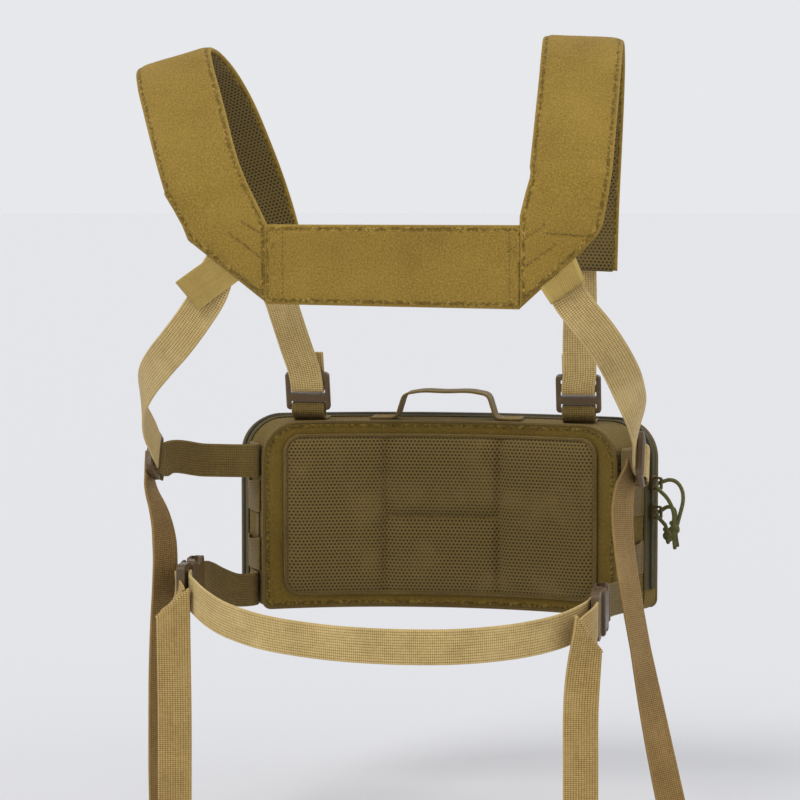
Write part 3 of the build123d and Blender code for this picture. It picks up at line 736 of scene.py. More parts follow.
TAILS = {
    "waist_tail_left": dict(
        body="tail_waist_left", slant=-0.85, fold=1.1, across=[SIDEWAYS] * 5,
        route=[(-0.1772, 0.0074, -0.395), (-0.1768, 0.0072, -0.430), (-0.1763, 0.007, -0.475),
               (-0.1766, 0.0075, -0.520), (-0.177, 0.008, -0.562)]),
    "waist_tail_right": dict(
        body="tail_waist_right", slant=1.0, fold=1.1,
        across=[(0.8, 0.6, 0), (0.93, 0.35, 0), SIDEWAYS, SIDEWAYS, SIDEWAYS],
        route=[(0.1255, -0.017, -0.4065), (0.1225, -0.0174, -0.430), (0.1205, -0.0176, -0.460),
               (0.1209, -0.0176, -0.500), (0.1211, -0.0172, -0.562)]),
    "side_tail_left": dict(
        body="tail_side_left", slant=0.5, fold=0.0,
        across=[(0, 1, 0), (0, 1, 0), (0.1, 1, 0), (0.3, 0.9, 0), (0.5, 0.85, 0), (0.55, 0.83, 0),
                (0.55, 0.83, 0), (0.55, 0.83, 0), (0.6, 0.8, 0), (0.6, 0.8, 0)],
        route=[(-0.2066, 0.061, -0.294), (-0.2074, 0.061, -0.306), (-0.206, 0.0605, -0.318),
               (-0.199, 0.0595, -0.334), (-0.1945, 0.058, -0.356), (-0.1945, 0.057, -0.385),
               (-0.197, 0.056, -0.425), (-0.1975, 0.054, -0.470), (-0.197, 0.052, -0.515),
               (-0.196, 0.050, -0.562)]),
    "side_tail_right": dict(
        body="tail_side_right", slant=0.5, fold=0.0,
        across=[(0.2, 0.97, 0), (0.5, 0.86, 0), (0.55, 0.83, 0), (0.5, 0.87, 0), (0.5, 0.87, 0),
                (0.5, 0.87, 0), (0.65, 0.76, 0), (0.75, 0.66, 0), (0.8, 0.6, 0)],
        route=[(0.1485, 0.062, -0.296), (0.1452, 0.061, -0.309), (0.143, 0.060, -0.326),
               (0.1445, 0.056, -0.350), (0.1505, 0.051, -0.388), (0.158, 0.046, -0.426),
               (0.1665, 0.041, -0.468), (0.176, 0.035, -0.512), (0.188, 0.028, -0.562)]),
}
for number, (node, tail) in enumerate(TAILS.items()):
    line = route_line(node + "_route", tail["route"])
    stations = spread_across(line, tail["route"], tail["across"])
    # The side tails take the webbing copy darkened as painted shade.
    material = waist_webbing if node.startswith("waist") else tail_webbing_painted_shade
    folded = tail["fold"] > 0
    piece = add_slanted(node + "_webbing", stations, tail["slant"], tail["body"], material, nodes=[node],
                        fold=tail["fold"], cup=0.5, ripple=0.5, seed=number + 4, ride=not folded)
    if folded:
        top = Vector(tail["route"][0])
        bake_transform(piece)
    hem, hem_out = add_hem(node + "_hem", stations, tail["body"], material)
    end, side = line[-1], np.asarray(tail["across"][-1], float)
    lines = [[end - unit(side) * 10.5 + (0, 0, rise), end + unit(side) * 10.5 + (0, 0, rise)]
             for rise in (3.0, 12.0)]
    sewn = add_stitches(node + "_stitches", surface_of(piece), lines, tail["body"],
                        hem_out, BOX_STITCH)

# Cord pulls, in each slider's own frame: along the side wall, away from it, and up; metres
WALL_ANGLE = math.radians(26.5)
ARC_CENTRE_Y = -142.0
SLIDER_RADIUS = 350.0
WALL_OUT = np.array([math.cos(WALL_ANGLE), -math.sin(WALL_ANGLE), 0])
WALL_ALONG = np.array([math.sin(WALL_ANGLE), math.cos(WALL_ANGLE), 0])
PULLS = {
    "upper": dict(
        height=-0.319, knot=(-6, 25.2, -31), tail_drop=13,
        route=[(0.0009, 0.007, 0), (0.0044, 0.0078, 0.0008), (0.0062, 0.014, 0.0032),
               (0.005, 0.0215, 0.0015), (0.0022, 0.0275, -0.0045), (-0.001, 0.0298, -0.0125),
               (-0.0028, 0.028, -0.0215), (-0.003, 0.0248, -0.034), (-0.009, 0.0248, -0.034),
               (-0.0092, 0.027, -0.0235), (-0.0093, 0.0245, -0.015), (-0.0086, 0.0195, -0.0085),
               (-0.0073, 0.0125, -0.0042), (-0.0044, 0.0078, -0.0012), (-0.0009, 0.007, 0)]),
    "lower": dict(
        height=-0.341, knot=(5.6, 13, -15.8), tail_drop=4,
        route=[(0.0009, 0.007, 0), (0.0044, 0.0076, 0.001), (0.0066, 0.0118, 0.0044),
               (0.0078, 0.0168, 0.0032), (0.0084, 0.0182, -0.0026), (0.0086, 0.0162, -0.0085),
               (0.0086, 0.013, -0.019), (0.0026, 0.013, -0.019), (0.0022, 0.0136, -0.0105),
               (-0.0018, 0.012, -0.0065), (-0.0043, 0.0078, -0.0012), (-0.0009, 0.007, 0)]),
}


def slider_point(height, along_wall, stand_off, rise):
    """A point in a slider's frame, in the model's frame and millimetres."""
    base = WALL_ALONG * (SLIDER_RADIUS + along_wall) + WALL_OUT * stand_off
    return np.array([base[0], base[1] + ARC_CENTRE_Y, height + rise])


def knot_line(centre, size, length):
    """Centreline of an overhand knot pulled tight: three crossing turns round the cord's two legs."""
    t = np.linspace(0, math.tau, 90)
    x = (np.sin(t) + 2 * np.sin(2 * t)) / 3
    y = (np.cos(t) - 2 * np.cos(2 * t)) / 3
    z = -np.sin(3 * t)
    turns = (np.asarray(centre)[None] + WALL_ALONG[None] * (x * size)[:, None]
             + WALL_OUT[None] * (z * size * 0.62)[:, None] + np.array([UPRIGHT]) * (y * length)[:, None])
    return turns[:-1]


for which, pull in PULLS.items():
    body = "pull_" + which
    height = pull["height"] / MM
    route = [slider_point(height, *(value / MM for value in place)) * MM for place in pull["route"]]
    line = route_line("pull_route_" + which, [tuple(point) for point in route])
    cord = add_tube("pull_cord_braid_" + which, line, 1.5, body, braid,
                    ["pull_cord_" + which], sides=16, braid_depth=0.14)
    centre = slider_point(height, *pull["knot"])
    knot = add_tube("pull_knot_turns_" + which, knot_line(centre, 2.9, 4.0), 1.9, body, braid,
                    ["pull_knot_" + which], sides=14, closed=True, braid_depth=0.14)
    for number, shift in enumerate((-1.3, 1.5)):
        drop = pull["tail_drop"] - number * 1.5
        legs = [centre + WALL_ALONG * shift + np.array([0, 0, -2.5]),
                centre + WALL_ALONG * shift * 1.3 + WALL_OUT * 0.6 + np.array([0, 0, -4 - drop * 0.5]),
                centre + WALL_ALONG * shift * 1.5 + WALL_OUT * 1.6 + np.array([0, 0, -4 - drop])]
        leg, _ = dense(legs, 0.8)
        taper = np.ones(len(leg))
        taper[-1] = 0.7
        add_tube(f"pull_cord_end_{which}_{number}", leg, 1.45, body, braid,
                             sides=12, braid_depth=0.12, taper=taper)


# Shoulder straps ---------------------------------------------------------------------------------
STRAP_STATIONS = {
    "left": [
        ((-124, 112, -155), (1, 0, 0)), ((-134, 101, -110), (1, 0, 0.1)), ((-146, 84, -68), (1, 0, 0.15)),
        ((-157, 62, -34), (1, 0, 0.2)), ((-166, 40, -14), (1, 0, 0.25)), ((-172, 20, -5), (1, 0, 0.28)),
        ((-172.5, 0, -5), (1, 0, 0.29)), ((-167.5, -18, -16), (1, 0, 0.25)),
        ((-159.5, -35, -33), (1, 0, 0.2)), ((-151, -50.5, -53), (1, 0, 0.2)),
        ((-143.7, -63, -71), (1, 0, 0.31)), ((-137.2, -71.5, -87), (1, 0, 0.38)),
    ],
    "right": [
        ((107, 112, -155), (1, 0, 0)), ((109, 101, -106), (1, 0, 0)), ((112, 85, -62), (1, 0, 0)),
        ((115, 63, -24), (1, 0, 0)), ((117, 40, -2), (1, 0, -0.03)), ((118, 20, 7), (1, 0, -0.05)),
        ((118.5, 1, 7.5), (1, 0, -0.05)), ((119, -17, -4), (1, 0, -0.03)), ((119, -33, -22), (1, 0, 0)),
        ((118.5, -48.5, -43), (1, 0, 0)), ((117.8, -61.5, -63), (1, 0, 0)), ((117, -71, -81), (1, 0, 0)),
    ],
}
BACK_Y = -76.0
WING_EDGES = {
    "left": (
        [(-163.2, -72.5, -99), (-157, -75.2, -108), (-150, BACK_Y, -120), (-146, BACK_Y, -130)],
        [(-110, -72.5, -79), (-105, -75.4, -90), (-98, BACK_Y, -104), (-90.2, BACK_Y, -120),
         (-90.2, BACK_Y, -145), (-90.2, BACK_Y, -173.5)]),
    "right": (
        [(90, -73, -85), (86.5, -75.6, -98), (82.9, BACK_Y, -113), (82.7, BACK_Y, -130),
         (82.7, BACK_Y, -152), (82.7, BACK_Y, -176)],
        [(144.6, -73, -85), (142.5, -75.6, -100), (139, BACK_Y, -119), (135, BACK_Y, -126),
         (125, BACK_Y, -137)]),
}
STRAP_HALF, LINING_HALF = 28.0, 25.0
PADDING_OUT, PADDING_IN = 3.0, 2.6
half_columns = np.array([2.5, 7, 12, 16, 19.5, 22, 23.6, 24.5, 25, 25.5, 26.2, 27, 27.7, STRAP_HALF])
STRAP_COLUMNS = np.concatenate([-half_columns[::-1], half_columns])


def far_from(points, line):
    """Distance from each point to a polyline."""
    line = np.asarray(line, float)
    best = np.full(points.shape[:-1], 1e9)
    for start, end in zip(line, line[1:]):
        run = end - start
        t = np.clip(np.sum((points - start) * run, axis=-1) / max(np.dot(run, run), 1e-9), 0, 1)
        best = np.minimum(best, np.linalg.norm(points - start - t[..., None] * run, axis=-1))
    return best


def edge_gap(grid):
    """Distance from each point of a grid to the grid's rim."""
    return far_from(grid, np.concatenate([grid[0][::-1], grid[:, 0], grid[-1], grid[::-1, -1]]))


# Reinforcing lines over the roots of the under-arm straps, as (x, z)
ROOT_MARKS = {
    "left": [[(-118, -124), (-93.5, -142.3)], [(-108.5, -117), (-92.5, -126)],
             [(-112, -152), (-93, -166)], [(-93, -142), (-93, -166)]],
    "right": [[(87, -146.5), (108, -132)], [(86, -128.5), (101, -118)],
              [(101, -124), (133, -126.5)], [(86, -168), (110, -150)]],
}
CLEAR_OF_BACK = -80.0


def behind_back(lines):
    """Lines of (x, z) in a plane just behind the wearer's back."""
    return [[(x, CLEAR_OF_BACK, z) for x, z in line] for line in lines]


def between(first, last, share):
    """Mix of two arrays, from all of the first at a share of 0 to all of the last at 1."""
    return first * (1 - share) + last * share


def strap_grid(side, columns, half, inset=0.0):
    """Grid of mid-layer points down a strap and out over its wing, with normals and cloth coordinates."""
    centres, across, normals, run = frames(STRAP_STATIONS[side], 4.0)
    share = (columns / half + 1) / 2
    band = centres[:, None] + across[:, None] * columns[None, :, None]
    band_normals = np.repeat(normals[:, None], len(columns), axis=1)
    left_edge, right_edge = (np.asarray(edge, float) for edge in WING_EDGES[side])
    rows = 26
    first = even_points(np.vstack([band[-1, 0], left_edge]), rows)[1:]
    last = even_points(np.vstack([band[-1, -1], right_edge]), rows)[1:]
    if inset:
        sideways = unit(last - first)
        first, last = first + sideways * inset, last - sideways * inset
        lift = np.array([0, 0, inset * 0.9])
        fade = np.linspace(0, 1, rows - 1)[:, None] ** 3
        first, last = first + lift * fade, last + lift * fade
    wing = between(first[:, None], last[:, None], share[None, :, None])
    blend = np.clip(np.linspace(0, 1, rows - 1) * 4, 0, 1)[:, None, None]
    wing_normals = unit(between(band_normals[-1][None], np.array([0, -1.0, 0]), blend))
    down = unit(np.cross(across[-1], normals[-1]))
    down = down if down[2] < 0 else -down
    offset = wing - centres[-1]
    wing_uv = np.stack([offset @ across[-1], run[-1] + offset @ down], axis=-1)
    band_uv = np.stack(np.meshgrid(columns, run), axis=-1)
    return (np.concatenate([band, wing]), np.concatenate([band_normals, wing_normals]),
            np.concatenate([band_uv, wing_uv]))


def lines_inside(grid, distance_from, distance):
    """Line at a distance from a grid's edge, found row by row along the columns."""
    distance = np.broadcast_to(distance, len(grid))
    return np.array([[np.interp(where, gaps, column) for column in row.T]
                     for where, gaps, row in zip(distance, distance_from, grid)])


for number, side in enumerate(("left", "right")):
    grid, normals, uv = strap_grid(side, STRAP_COLUMNS, STRAP_HALF)
    gap = edge_gap(grid)
    full = profile(gap, PADDING_OUT)
    creases = wobble(grid, 0.045, 0.45, number + 1) + wobble(grid, 0.16, 0.14, number + 3)
    pucker = np.exp(-((gap - 4.5) / 2.2) ** 2) * wobble(grid, 0.55, 0.35, number + 5)
    soft = np.clip(gap / 6, 0, 1)
    marks = ROOT_MARKS[side]
    near = np.min([far_from(grid[..., ::2], mark) for mark in marks], axis=0)
    around = np.exp(-(near / 6) ** 2) * wobble(grid, 0.35, 0.5, number + 7)
    pulled = 0.75 * np.exp(-(near / 1.5) ** 2) - around
    up = np.maximum(full + creases * soft + pucker - pulled * soft, 0.25)
    down = np.maximum(profile(gap, PADDING_IN, reach=6), 0.25)
    strap = add_slab(f"strap_body_{side}", grid, normals, up, down, uv, strap_cloth, "harness",
                     [f"shoulder_strap_{side}"], gap)
    surface = surface_of(strap)

    # Topstitching just in from every edge, and the reinforcing lines over the root
    top = grid + normals * PADDING_OUT
    across_run = np.array([lengths_along(row) for row in grid])
    left_line = lines_inside(top, across_run, SEAM_INSET)
    right_line = lines_inside(top, across_run, across_run[:, -1] - SEAM_INSET)
    in_from_side = unit(grid[-1, -1] - grid[-1, 0]) * SEAM_INSET
    end_up = np.array([0, 0, 3.6])
    end_line = [top[-1, 0] + in_from_side + end_up, top[-1, -1] - in_from_side + end_up]
    sewn_lines, sewn_out = [], []
    for line in (left_line, right_line):
        for begin in range(0, len(line) - 1, 2):
            sewn_lines.append(line[begin:begin + 3])
            sewn_out.append(normals[begin + 1, 0])
    sewn_lines.append(end_line)
    sewn_out.append(BACKWARD)
    add_stitches(f"strap_topstitch_{side}", surface, sewn_lines, "harness", sewn_out,
                 STRAP_STITCH, dark_thread)
    add_stitches(f"strap_reinforcing_{side}", surface, behind_back(marks), "harness",
                 BACKWARD, ROOT_STITCH, dark_thread)

    # Spacer-mesh underside, a little smaller than the strap
    grid, normals, uv = strap_grid(side, STRAP_COLUMNS[::2] * LINING_HALF / STRAP_HALF, LINING_HALF, 3.0)
    gap = edge_gap(grid)
    cushion = np.clip(gap / 5, 0, 1) ** 0.5
    down = 0.7 + 0.9 * cushion + wobble(grid, 0.05, 0.3, 9) * cushion
    lining = add_slab(f"strap_mesh_{side}", grid - normals * 3.0, normals, np.full(gap.shape, 0.15), down, uv,
                      spacer_mesh, "harness", [f"shoulder_lining_{side}"], gap)


def upright_grid(x, y, z, facing_y):
    """Grid across the wearer's back, with its normals and cloth coordinates."""
    grid = np.stack(np.broadcast_arrays(x, y, z), axis=-1)
    normals = np.zeros_like(grid)
    normals[..., 1] = facing_y
    return grid, normals, np.stack([grid[..., 0], -grid[..., 2]], axis=-1)


# Yoke: the panel between the two wings
YOKE_LEFT, YOKE_RIGHT, YOKE_TOP = -90.6, 83.4, -119.0
YOKE_LOW_LEFT, YOKE_LOW_RIGHT = -173.5, -176.0
rim_steps = np.array([0, 0.3, 1, 1.9, 2.6, 3.0, 3.5, 4.5, 6.5, 9])
tall = YOKE_TOP - YOKE_LOW_LEFT
fall = np.concatenate([rim_steps, np.linspace(12, tall - 12, 9), tall - rim_steps[::-1]]) / tall
wide = YOKE_RIGHT - YOKE_LEFT
shift = np.concatenate([rim_steps[::2], np.linspace(9, wide - 9, 60)[1:-1], wide - rim_steps[::-2]]) / wide
yoke_x = YOKE_LEFT + shift * wide
yoke_low = YOKE_LOW_LEFT + shift * (YOKE_LOW_RIGHT - YOKE_LOW_LEFT)
yoke_z = YOKE_TOP + (yoke_low - YOKE_TOP)[None, :] * fall[:, None]
grid, normals, uv = upright_grid(yoke_x[None, :], BACK_Y, yoke_z, -1)
gap_tall = np.minimum(np.abs(grid[..., 2] - YOKE_TOP), np.abs(grid[..., 2] - yoke_low[None, :]))
gap_wide = np.minimum(grid[..., 0] - YOKE_LEFT, YOKE_RIGHT - grid[..., 0])
streaks = wobble(grid * np.array([3.2, 1, 0.25]), 0.06, 0.4, 21) + wobble(grid, 0.04, 0.35, 22)
left_ditch, right_ditch = (0.5 * np.exp(-((grid[..., 0] - x) / 0.9) ** 2) for x in (-79.5, 76.3))
ditch = left_ditch + right_ditch
pressed = 0.55 + 0.45 * np.clip(gap_wide / 8, 0, 1)
up = profile(gap_tall, PADDING_OUT) * pressed + streaks * np.clip(gap_tall / 6, 0, 1) - ditch
up = np.maximum(up, 0.3)
gap = np.minimum(gap_tall, gap_wide + 3)
down = np.maximum(profile(gap_tall, PADDING_IN, reach=6), 0.3)
yoke = add_slab("yoke_body", grid, normals, up, down, uv, strap_cloth, "harness",
                ["back_yoke"], gap)
yoke_lines = [
    [(-87, YOKE_TOP - 3), (80, YOKE_TOP - 3)], [(-87, -170.6), (80, -172.9)],
    [(-79.5, YOKE_TOP - 4), (-79.5, -170)], [(76.3, YOKE_TOP - 4), (76.3, -172)],
    [(-88, -131), (-84, -136)], [(-84, -131), (-88, -136)],
    [(74, -137), (81, -133)], [(75, -132), (80, -138)],
]
add_stitches("yoke_topstitch", surface_of(yoke), behind_back(yoke_lines), "harness",
             BACKWARD, STRAP_STITCH, dark_thread)

lining_fall = np.linspace(0, 1, 14)
lining_x = YOKE_LEFT + 1 + np.linspace(0, 1, 40) * (wide - 2)
lining_z = YOKE_TOP - 2 + ((yoke_low.min() + 3.5) - (YOKE_TOP - 2)) * lining_fall[:, None]
grid, normals, uv = upright_grid(lining_x[None, :], -73.0, lining_z, 1)
gap = np.minimum(lining_fall, 1 - lining_fall)[:, None] * tall + np.zeros((1, 40))
yoke_mesh = add_slab("yoke_mesh", grid, normals, 0.6 + 1.0 * np.clip(gap / 5, 0, 1) ** 0.5,
                     np.full(gap.shape, 0.2), uv, spacer_mesh, "harness", ["yoke_lining"], gap)

# Folded tabs over the roots of the under-arm straps: two layers joined by a fold at the far edge
TABS = {
    "left": [(-131, -142), (-153, -158), (-137, -177), (-110, -157)],
    "right": [(121, -141), (127, -155), (104, -171), (97, -161)],
}
for number, (side, (inner_a, outer_a, outer_b, inner_b)) in enumerate(TABS.items()):
    a0, a1, b1, b0 = (np.array([x, 0.0, z]) for x, z in (inner_a, outer_a, outer_b, inner_b))
    root_a = a0 + unit(a0 - a1) * 5
    root_b = b0 + unit(b0 - b1) * 5
    reach = np.linspace(0, 1, 15)[:, None, None]
    width = (np.array([-1, -0.97, -0.88, -0.6, -0.3, 0, 0.3, 0.6, 0.88, 0.97, 1])[None, :, None] + 1) / 2
    flat = between(between(root_a, a1, reach), between(root_b, b1, reach), width)
    emerge = np.clip((reach[..., 0] - 0.08) / 0.8, 0, 1)
    stand = -75.6 - 4.6 * emerge * emerge * (3 - 2 * emerge)
    outer = flat.copy()
    outer[..., 1] = stand + wobble(flat, 0.12, 0.3, 31 + number) * emerge
    bend_out = unit((a1 + b1) / 2 - (a0 + b0) / 2)
    arc = [outer[-1] + bend_out * math.sin(turn) * 1.2 + np.array([0, 1.2 - 1.2 * math.cos(turn), 0])
           for turn in np.linspace(0.25, 1, 4) * math.pi]
    inner = outer[::-1] + np.array([0, 2.4, 0])
    inner[..., 1] = np.minimum(inner[..., 1], -76.9)
    path = np.concatenate([outer, np.array(arc)[:-1], inner[:9]])
    outs = unit(np.cross(np.gradient(path, axis=1), np.gradient(path, axis=0)))
    if outs[3, 5, 1] > 0:
        outs = -outs
    run = lengths_along(path[:, 5])
    span = np.linalg.norm(b1 - a1)
    uv = np.stack([np.repeat((width[:, :, 0] - 0.5) * span, len(path), axis=0),
                   np.repeat(run[:, None], width.shape[1], axis=1)], axis=-1)
    half = np.full(path.shape[:2], 0.5)
    add_slab(f"tab_fold_{side}", path, outs, half, half, uv, tab_cloth, "harness",
             [f"yoke_loop_{side}"])

# Under-arm straps --------------------------------------------------------------------------------
ADJUSTER_ALONG = np.array([0, 0.9, -0.436])
SIDE_ADJUSTERS = {"left": ((-202, 58, -290), (-1, 0, 0)), "right": ((157, 58, -290), (1, 0, 0))}
SIDE_STRAPS = {
    "left": [
        ((-119, -74.0, -142), (0.8, 0, -0.6)), ((-125.8, -74.6, -152), (0.8, 0, -0.6)),
        ((-130.5, -75, -165), (0.8, 0, -0.6)), ((-142.3, -71.5, -183), (0.76, 0, -0.65)),
        ((-155.8, -65, -199.4), (0.73, 0, -0.69)), ((-172.5, -49, -215.8), (0.62, -0.1, -0.78)),
        ((-187.1, -27, -230.9), (0.42, -0.2, -0.89)), ((-196.5, -3, -246), (0.2, -0.35, -0.91)),
        ((-199.3, 18, -263), (0.05, -0.45, -0.88)), ((-197.9, 37, -278), (0, -0.436, -0.9)),
    ],
    "right": [
        ((105.5, -74.0, -144), (0.75, 0, 0.66)), ((111.5, -74.6, -155.5), (0.75, 0, 0.66)),
        ((116.5, -75, -167), (0.77, 0, 0.64)), ((124.8, -72, -178.8), (0.8, 0, 0.6)),
        ((134.9, -64, -192.2), (0.82, 0, 0.57)), ((143.3, -53, -206.4), (0.85, 0.07, 0.52)),
        ((149.8, -39, -220.9), (0.85, 0.15, 0.5)), ((154.8, -21, -237.4), (0.68, 0.35, 0.62)),
        ((157.6, -4, -251.3), (0.45, 0.42, 0.72)), ((157.0, 17, -266), (0.2, 0.43, 0.85)),
        ((153.2, 37, -278), (0, 0.436, 0.9)),
    ],
}
SIDE_ANCHORS = {
    "left": [((-196.5, 76, -296), (0, 0.2, 1)), ((-174, 106, -300), (0, 0, 1))],
    "right": [((153, 76, -296), (0, 0.2, 1)), ((146.5, 105, -300), (0, 0, 1))],
}


def wall_point(radius, stand_off, z, sign=1):
    point = WALL_ALONG * radius + WALL_OUT * stand_off
    return (sign * point[0], point[1] + ARC_CENTRE_Y, z)


SIDE_ANCHOR_Z, WAIST_ANCHOR_Z = -302, -401


def stitch_to_wall(name, piece, z, sign):
    """Box of stitches that holds a strap to the pack's side wall."""
    mirror = np.array([sign, 1, 1])
    box_stitch(name, piece, wall_point(321, 2.4, z, sign), WALL_ALONG * mirror, UPRIGHT, WALL_OUT * mirror,
               15, 20)


def local_stations(origin, along_dir, out, places, across):
    """Stations from (along, out) places in an adjuster's own plane."""
    origin, along_dir, out = (np.asarray(value, float) for value in (origin, along_dir, out))
    return [(tuple(origin + along_dir * a + out * n), across) for a, n in places]


LACE_THROUGH = [(-4.5, -3.7), (-1.6, -3.4), (-0.3, -1.8), (0.1, 0), (0.6, 1.9), (2.4, 3.6), (6, 4.3),
                (12, 4.4)]
ANCHOR_LOOP = [(27, -1.4), (20, 3.0), (15.5, 4.2), (12.2, 3.8), (10.4, 2.2), (10, 0), (10.4, -2.2),
               (12.4, -3.8), (16, -4.2)]
for number, (side, sign) in enumerate(SIDES):
    origin, out = SIDE_ADJUSTERS[side]
    slot_across = (0, 0.436 * sign, 0.9 * sign)
    lace = local_stations(origin, ADJUSTER_ALONG, out, LACE_THROUGH, slot_across)
    add_ribbon(f"side_strap_webbing_{side}", SIDE_STRAPS[side] + lace, "harness", [f"side_strap_{side}"],
               ripple=0.3, seed=41 + number, step=2.0)
    loop = local_stations(origin, ADJUSTER_ALONG, out, ANCHOR_LOOP, (0, 0.436, 0.9))
    stations = loop + SIDE_ANCHORS[side]
    stations += [(wall_point(radius, 1.4, SIDE_ANCHOR_Z, sign), UPRIGHT) for radius in (308, 318, 330)]
    anchor = add_ribbon(f"side_anchor_webbing_{side}", stations, "harness", [f"side_anchor_{side}"],
                        material=pack_webbing, ripple=0.15, seed=43 + number, step=1.6)
    stitch_to_wall(f"side_anchor_stitches_{side}", anchor, SIDE_ANCHOR_Z, sign)
    soften_hard_part(f"side_adjuster_{side}", buckle_plastic, 0.5)

# Front straps down to the pack's top
FRONT_X, FRONT_TILT, FRONT_OUT = 103.5, (0, 0.27, -0.96), (0, 0.96, 0.27)
FRONT_STRAPS = {
    "left": [(-122, 110.6, -150), (-123.6, 112.8, -157), (-118, 125, -185), (-110.5, 136.5, -215),
             (-104.8, 142.5, -236)],
    "right": [(107, 110.6, -150), (107, 112.8, -157), (106.5, 125, -185), (105, 136.5, -215),
              (104.8, 142.5, -236)],
}
FRONT_LACE = [(-4.5, -3.7), (-1.6, -3.4), (-0.3, -1.8), (0, 0), (-0.4, 1.9), (-2.4, 3.5), (-6, 4.1),
              (-24, 4.2), (-30, 3.6)]
FRONT_ANCHOR = [(148.6, -264.5), (152.5, -269.6), (158, -271.3), (166, -271.8), (179, -271.8)]
FRONT_LOOP = [(26, 2.0), (19, 4.0), (15, 4.4), (12, 3.8), (10.4, 2.2), (10, 0), (10.4, -2.2), (11.8, -3.6)]
for number, (side, sign) in enumerate(SIDES):
    origin = (FRONT_X * sign, 150, -250)
    lace = local_stations(origin, FRONT_TILT, FRONT_OUT, FRONT_LACE, SIDEWAYS)
    strap = add_ribbon(f"front_strap_webbing_{side}", facing(FRONT_STRAPS[side], SIDEWAYS) + lace, "harness",
                       [f"front_strap_{side}"], ripple=0.2, seed=51 + number, step=1.6)
    loop = local_stations(origin, FRONT_TILT, FRONT_OUT, FRONT_LOOP, SIDEWAYS)
    sewn_down = [(FRONT_X * sign, y, z) for y, z in FRONT_ANCHOR]
    anchor = add_ribbon(f"front_anchor_webbing_{side}", loop + facing(sewn_down, SIDEWAYS), "harness",
                        [f"front_anchor_{side}"], material=pack_webbing, ripple=0.1, seed=53 + number,
                        step=1.4)
    box_stitch(f"front_anchor_stitches_{side}", anchor, (FRONT_X * sign, 170.5, -270.8), SIDEWAYS, FORWARD,
               UPRIGHT, 20, 13)
    box_stitch(f"front_strap_stitches_{side}", strap, np.array(origin) + np.array(FRONT_TILT) * -22
               + np.array(FRONT_OUT) * 5, SIDEWAYS, FRONT_TILT, FRONT_OUT, 20, 12)
    soften_hard_part(f"front_adjuster_{side}", buckle_plastic, 0.5)

# Waist strap, its buckles and what joins them to the pack
WAIST_ROUTE = [
    (-168.6, 31, -385), (-168, 20, -386.5), (-159.5, 7, -391.5), (-142, -11, -399), (-113, -33, -405),
    (-59, -55, -409.5), (-5, -61, -411), (47, -56, -410), (86, -35, -407.5), (107, -13, -404.5),
    (119, 6, WAIST_ANCHOR_Z), (123.3, 19, -399.3), (123.8, 31, -399),
]
add_ribbon("waist_strap_webbing", facing(WAIST_ROUTE, UPRIGHT), "waist_belt",
           ["waist_strap"], ripple=0.35, seed=61)
WAIST_LEADS = {
    "left": [((-177.2, 9.2, -394.5), (0.97, -0.42, 0.6)), ((-176.9, 13.7, -391.8), (0.65, -0.45, 0.66)),
             ((-177.4, 18.7, -388.8), (0.3, -0.35, 0.88)), ((-178.4, 23.5, -386.3), (0.08, -0.2, 0.97)),
             ((-178.0, 27.0, -385.2), UPRIGHT), ((-174, 28.2, -385), UPRIGHT), ((-169.6, 28, -385), UPRIGHT)],
    "right": [((125.5, -15.2, -406.2), (0.59, 0.16, -1.12)), ((126.6, -11.0, -405), (0.42, 0.2, -0.9)),
              ((127.8, -4.5, -403.3), (0.2, 0.15, -0.95)), ((128.8, 4, -401.6), (0.05, 0.08, -1)),
              ((129.6, 13, -400), (0, 0, -1)), ((129.8, 22, -399.1), (0, 0, -1)),
              ((128.6, 26.8, -399), (0, 0, -1)), ((126.6, 28.0, -399), (0, 0, -1)),
              ((124.4, 28, -399), (0, 0, -1))],
}
LEAD_SLANTS = {"left": 0.4, "right": 0.37}
WAIST_ANCHORS = {
    "left": [(-165.6, 99, -393), (-170.5, 90, -388.5), (-176.6, 82.6, -385.5), (-178.1, 78.4, -385),
             (-176.6, 75, -385), (-173, 74.4, -385), (-169.6, 75.2, -385), (-168.3, 79, -385.3),
             (-167.6, 86, -386.7), (-163, 97, -392), (-153.5, 113, -399),
             wall_point(312, 1.4, WAIST_ANCHOR_Z, -1), wall_point(330, 1.4, WAIST_ANCHOR_Z, -1)],
    "right": [(127.9, 100, -400), (131, 89, -399.5), (132.8, 81.5, -399), (131.8, 76.2, -399),
              (128.5, 74.4, -399), (124.8, 75.2, -399), (123.4, 79, -399), (124.2, 87, -399.5),
              (129.5, 108, -400.5), wall_point(310, 1.4, WAIST_ANCHOR_Z),
              wall_point(330, 1.4, WAIST_ANCHOR_Z)],
}
for number, (side, sign) in enumerate(SIDES):
    add_slanted(f"waist_lead_{side}", WAIST_LEADS[side], LEAD_SLANTS[side], "waist_belt", waist_webbing,
                ripple=0.1, seed=63 + number, step=1.6)
    anchor = add_ribbon(f"waist_anchor_webbing_{side}", facing(WAIST_ANCHORS[side], UPRIGHT),
                        "harness", [f"waist_anchor_{side}"], material=pack_webbing, ripple=0.1,
                        seed=65 + number, step=1.6)
    stitch_to_wall(f"waist_anchor_stitches_{side}", anchor, WAIST_ANCHOR_Z, sign)
    for half in ("male", "female"):
        soften_hard_part(f"waist_buckle_{half}_{side}", buckle_plastic, 0.45)


# Pack --------------------------------------------------------------------------------------------
PACK_TOP, PACK_BOTTOM = -273.0, -415.0
BACK_RADIUS, SHELL_RIM, COVER_RIM, FRONT_RADIUS = 300.0, 349.6, 350.4, 361.5
TOP_CORNER, BOTTOM_CORNER = 28.0, 6.0
LINING_CORNERS = (24.0, 4.0)
SHELL_THICK = 2.4
RIM_STEPS = np.array([0, 0.3, 0.8, 1.5, 2.3, 3.0, 3.8, 5, 7, 10])


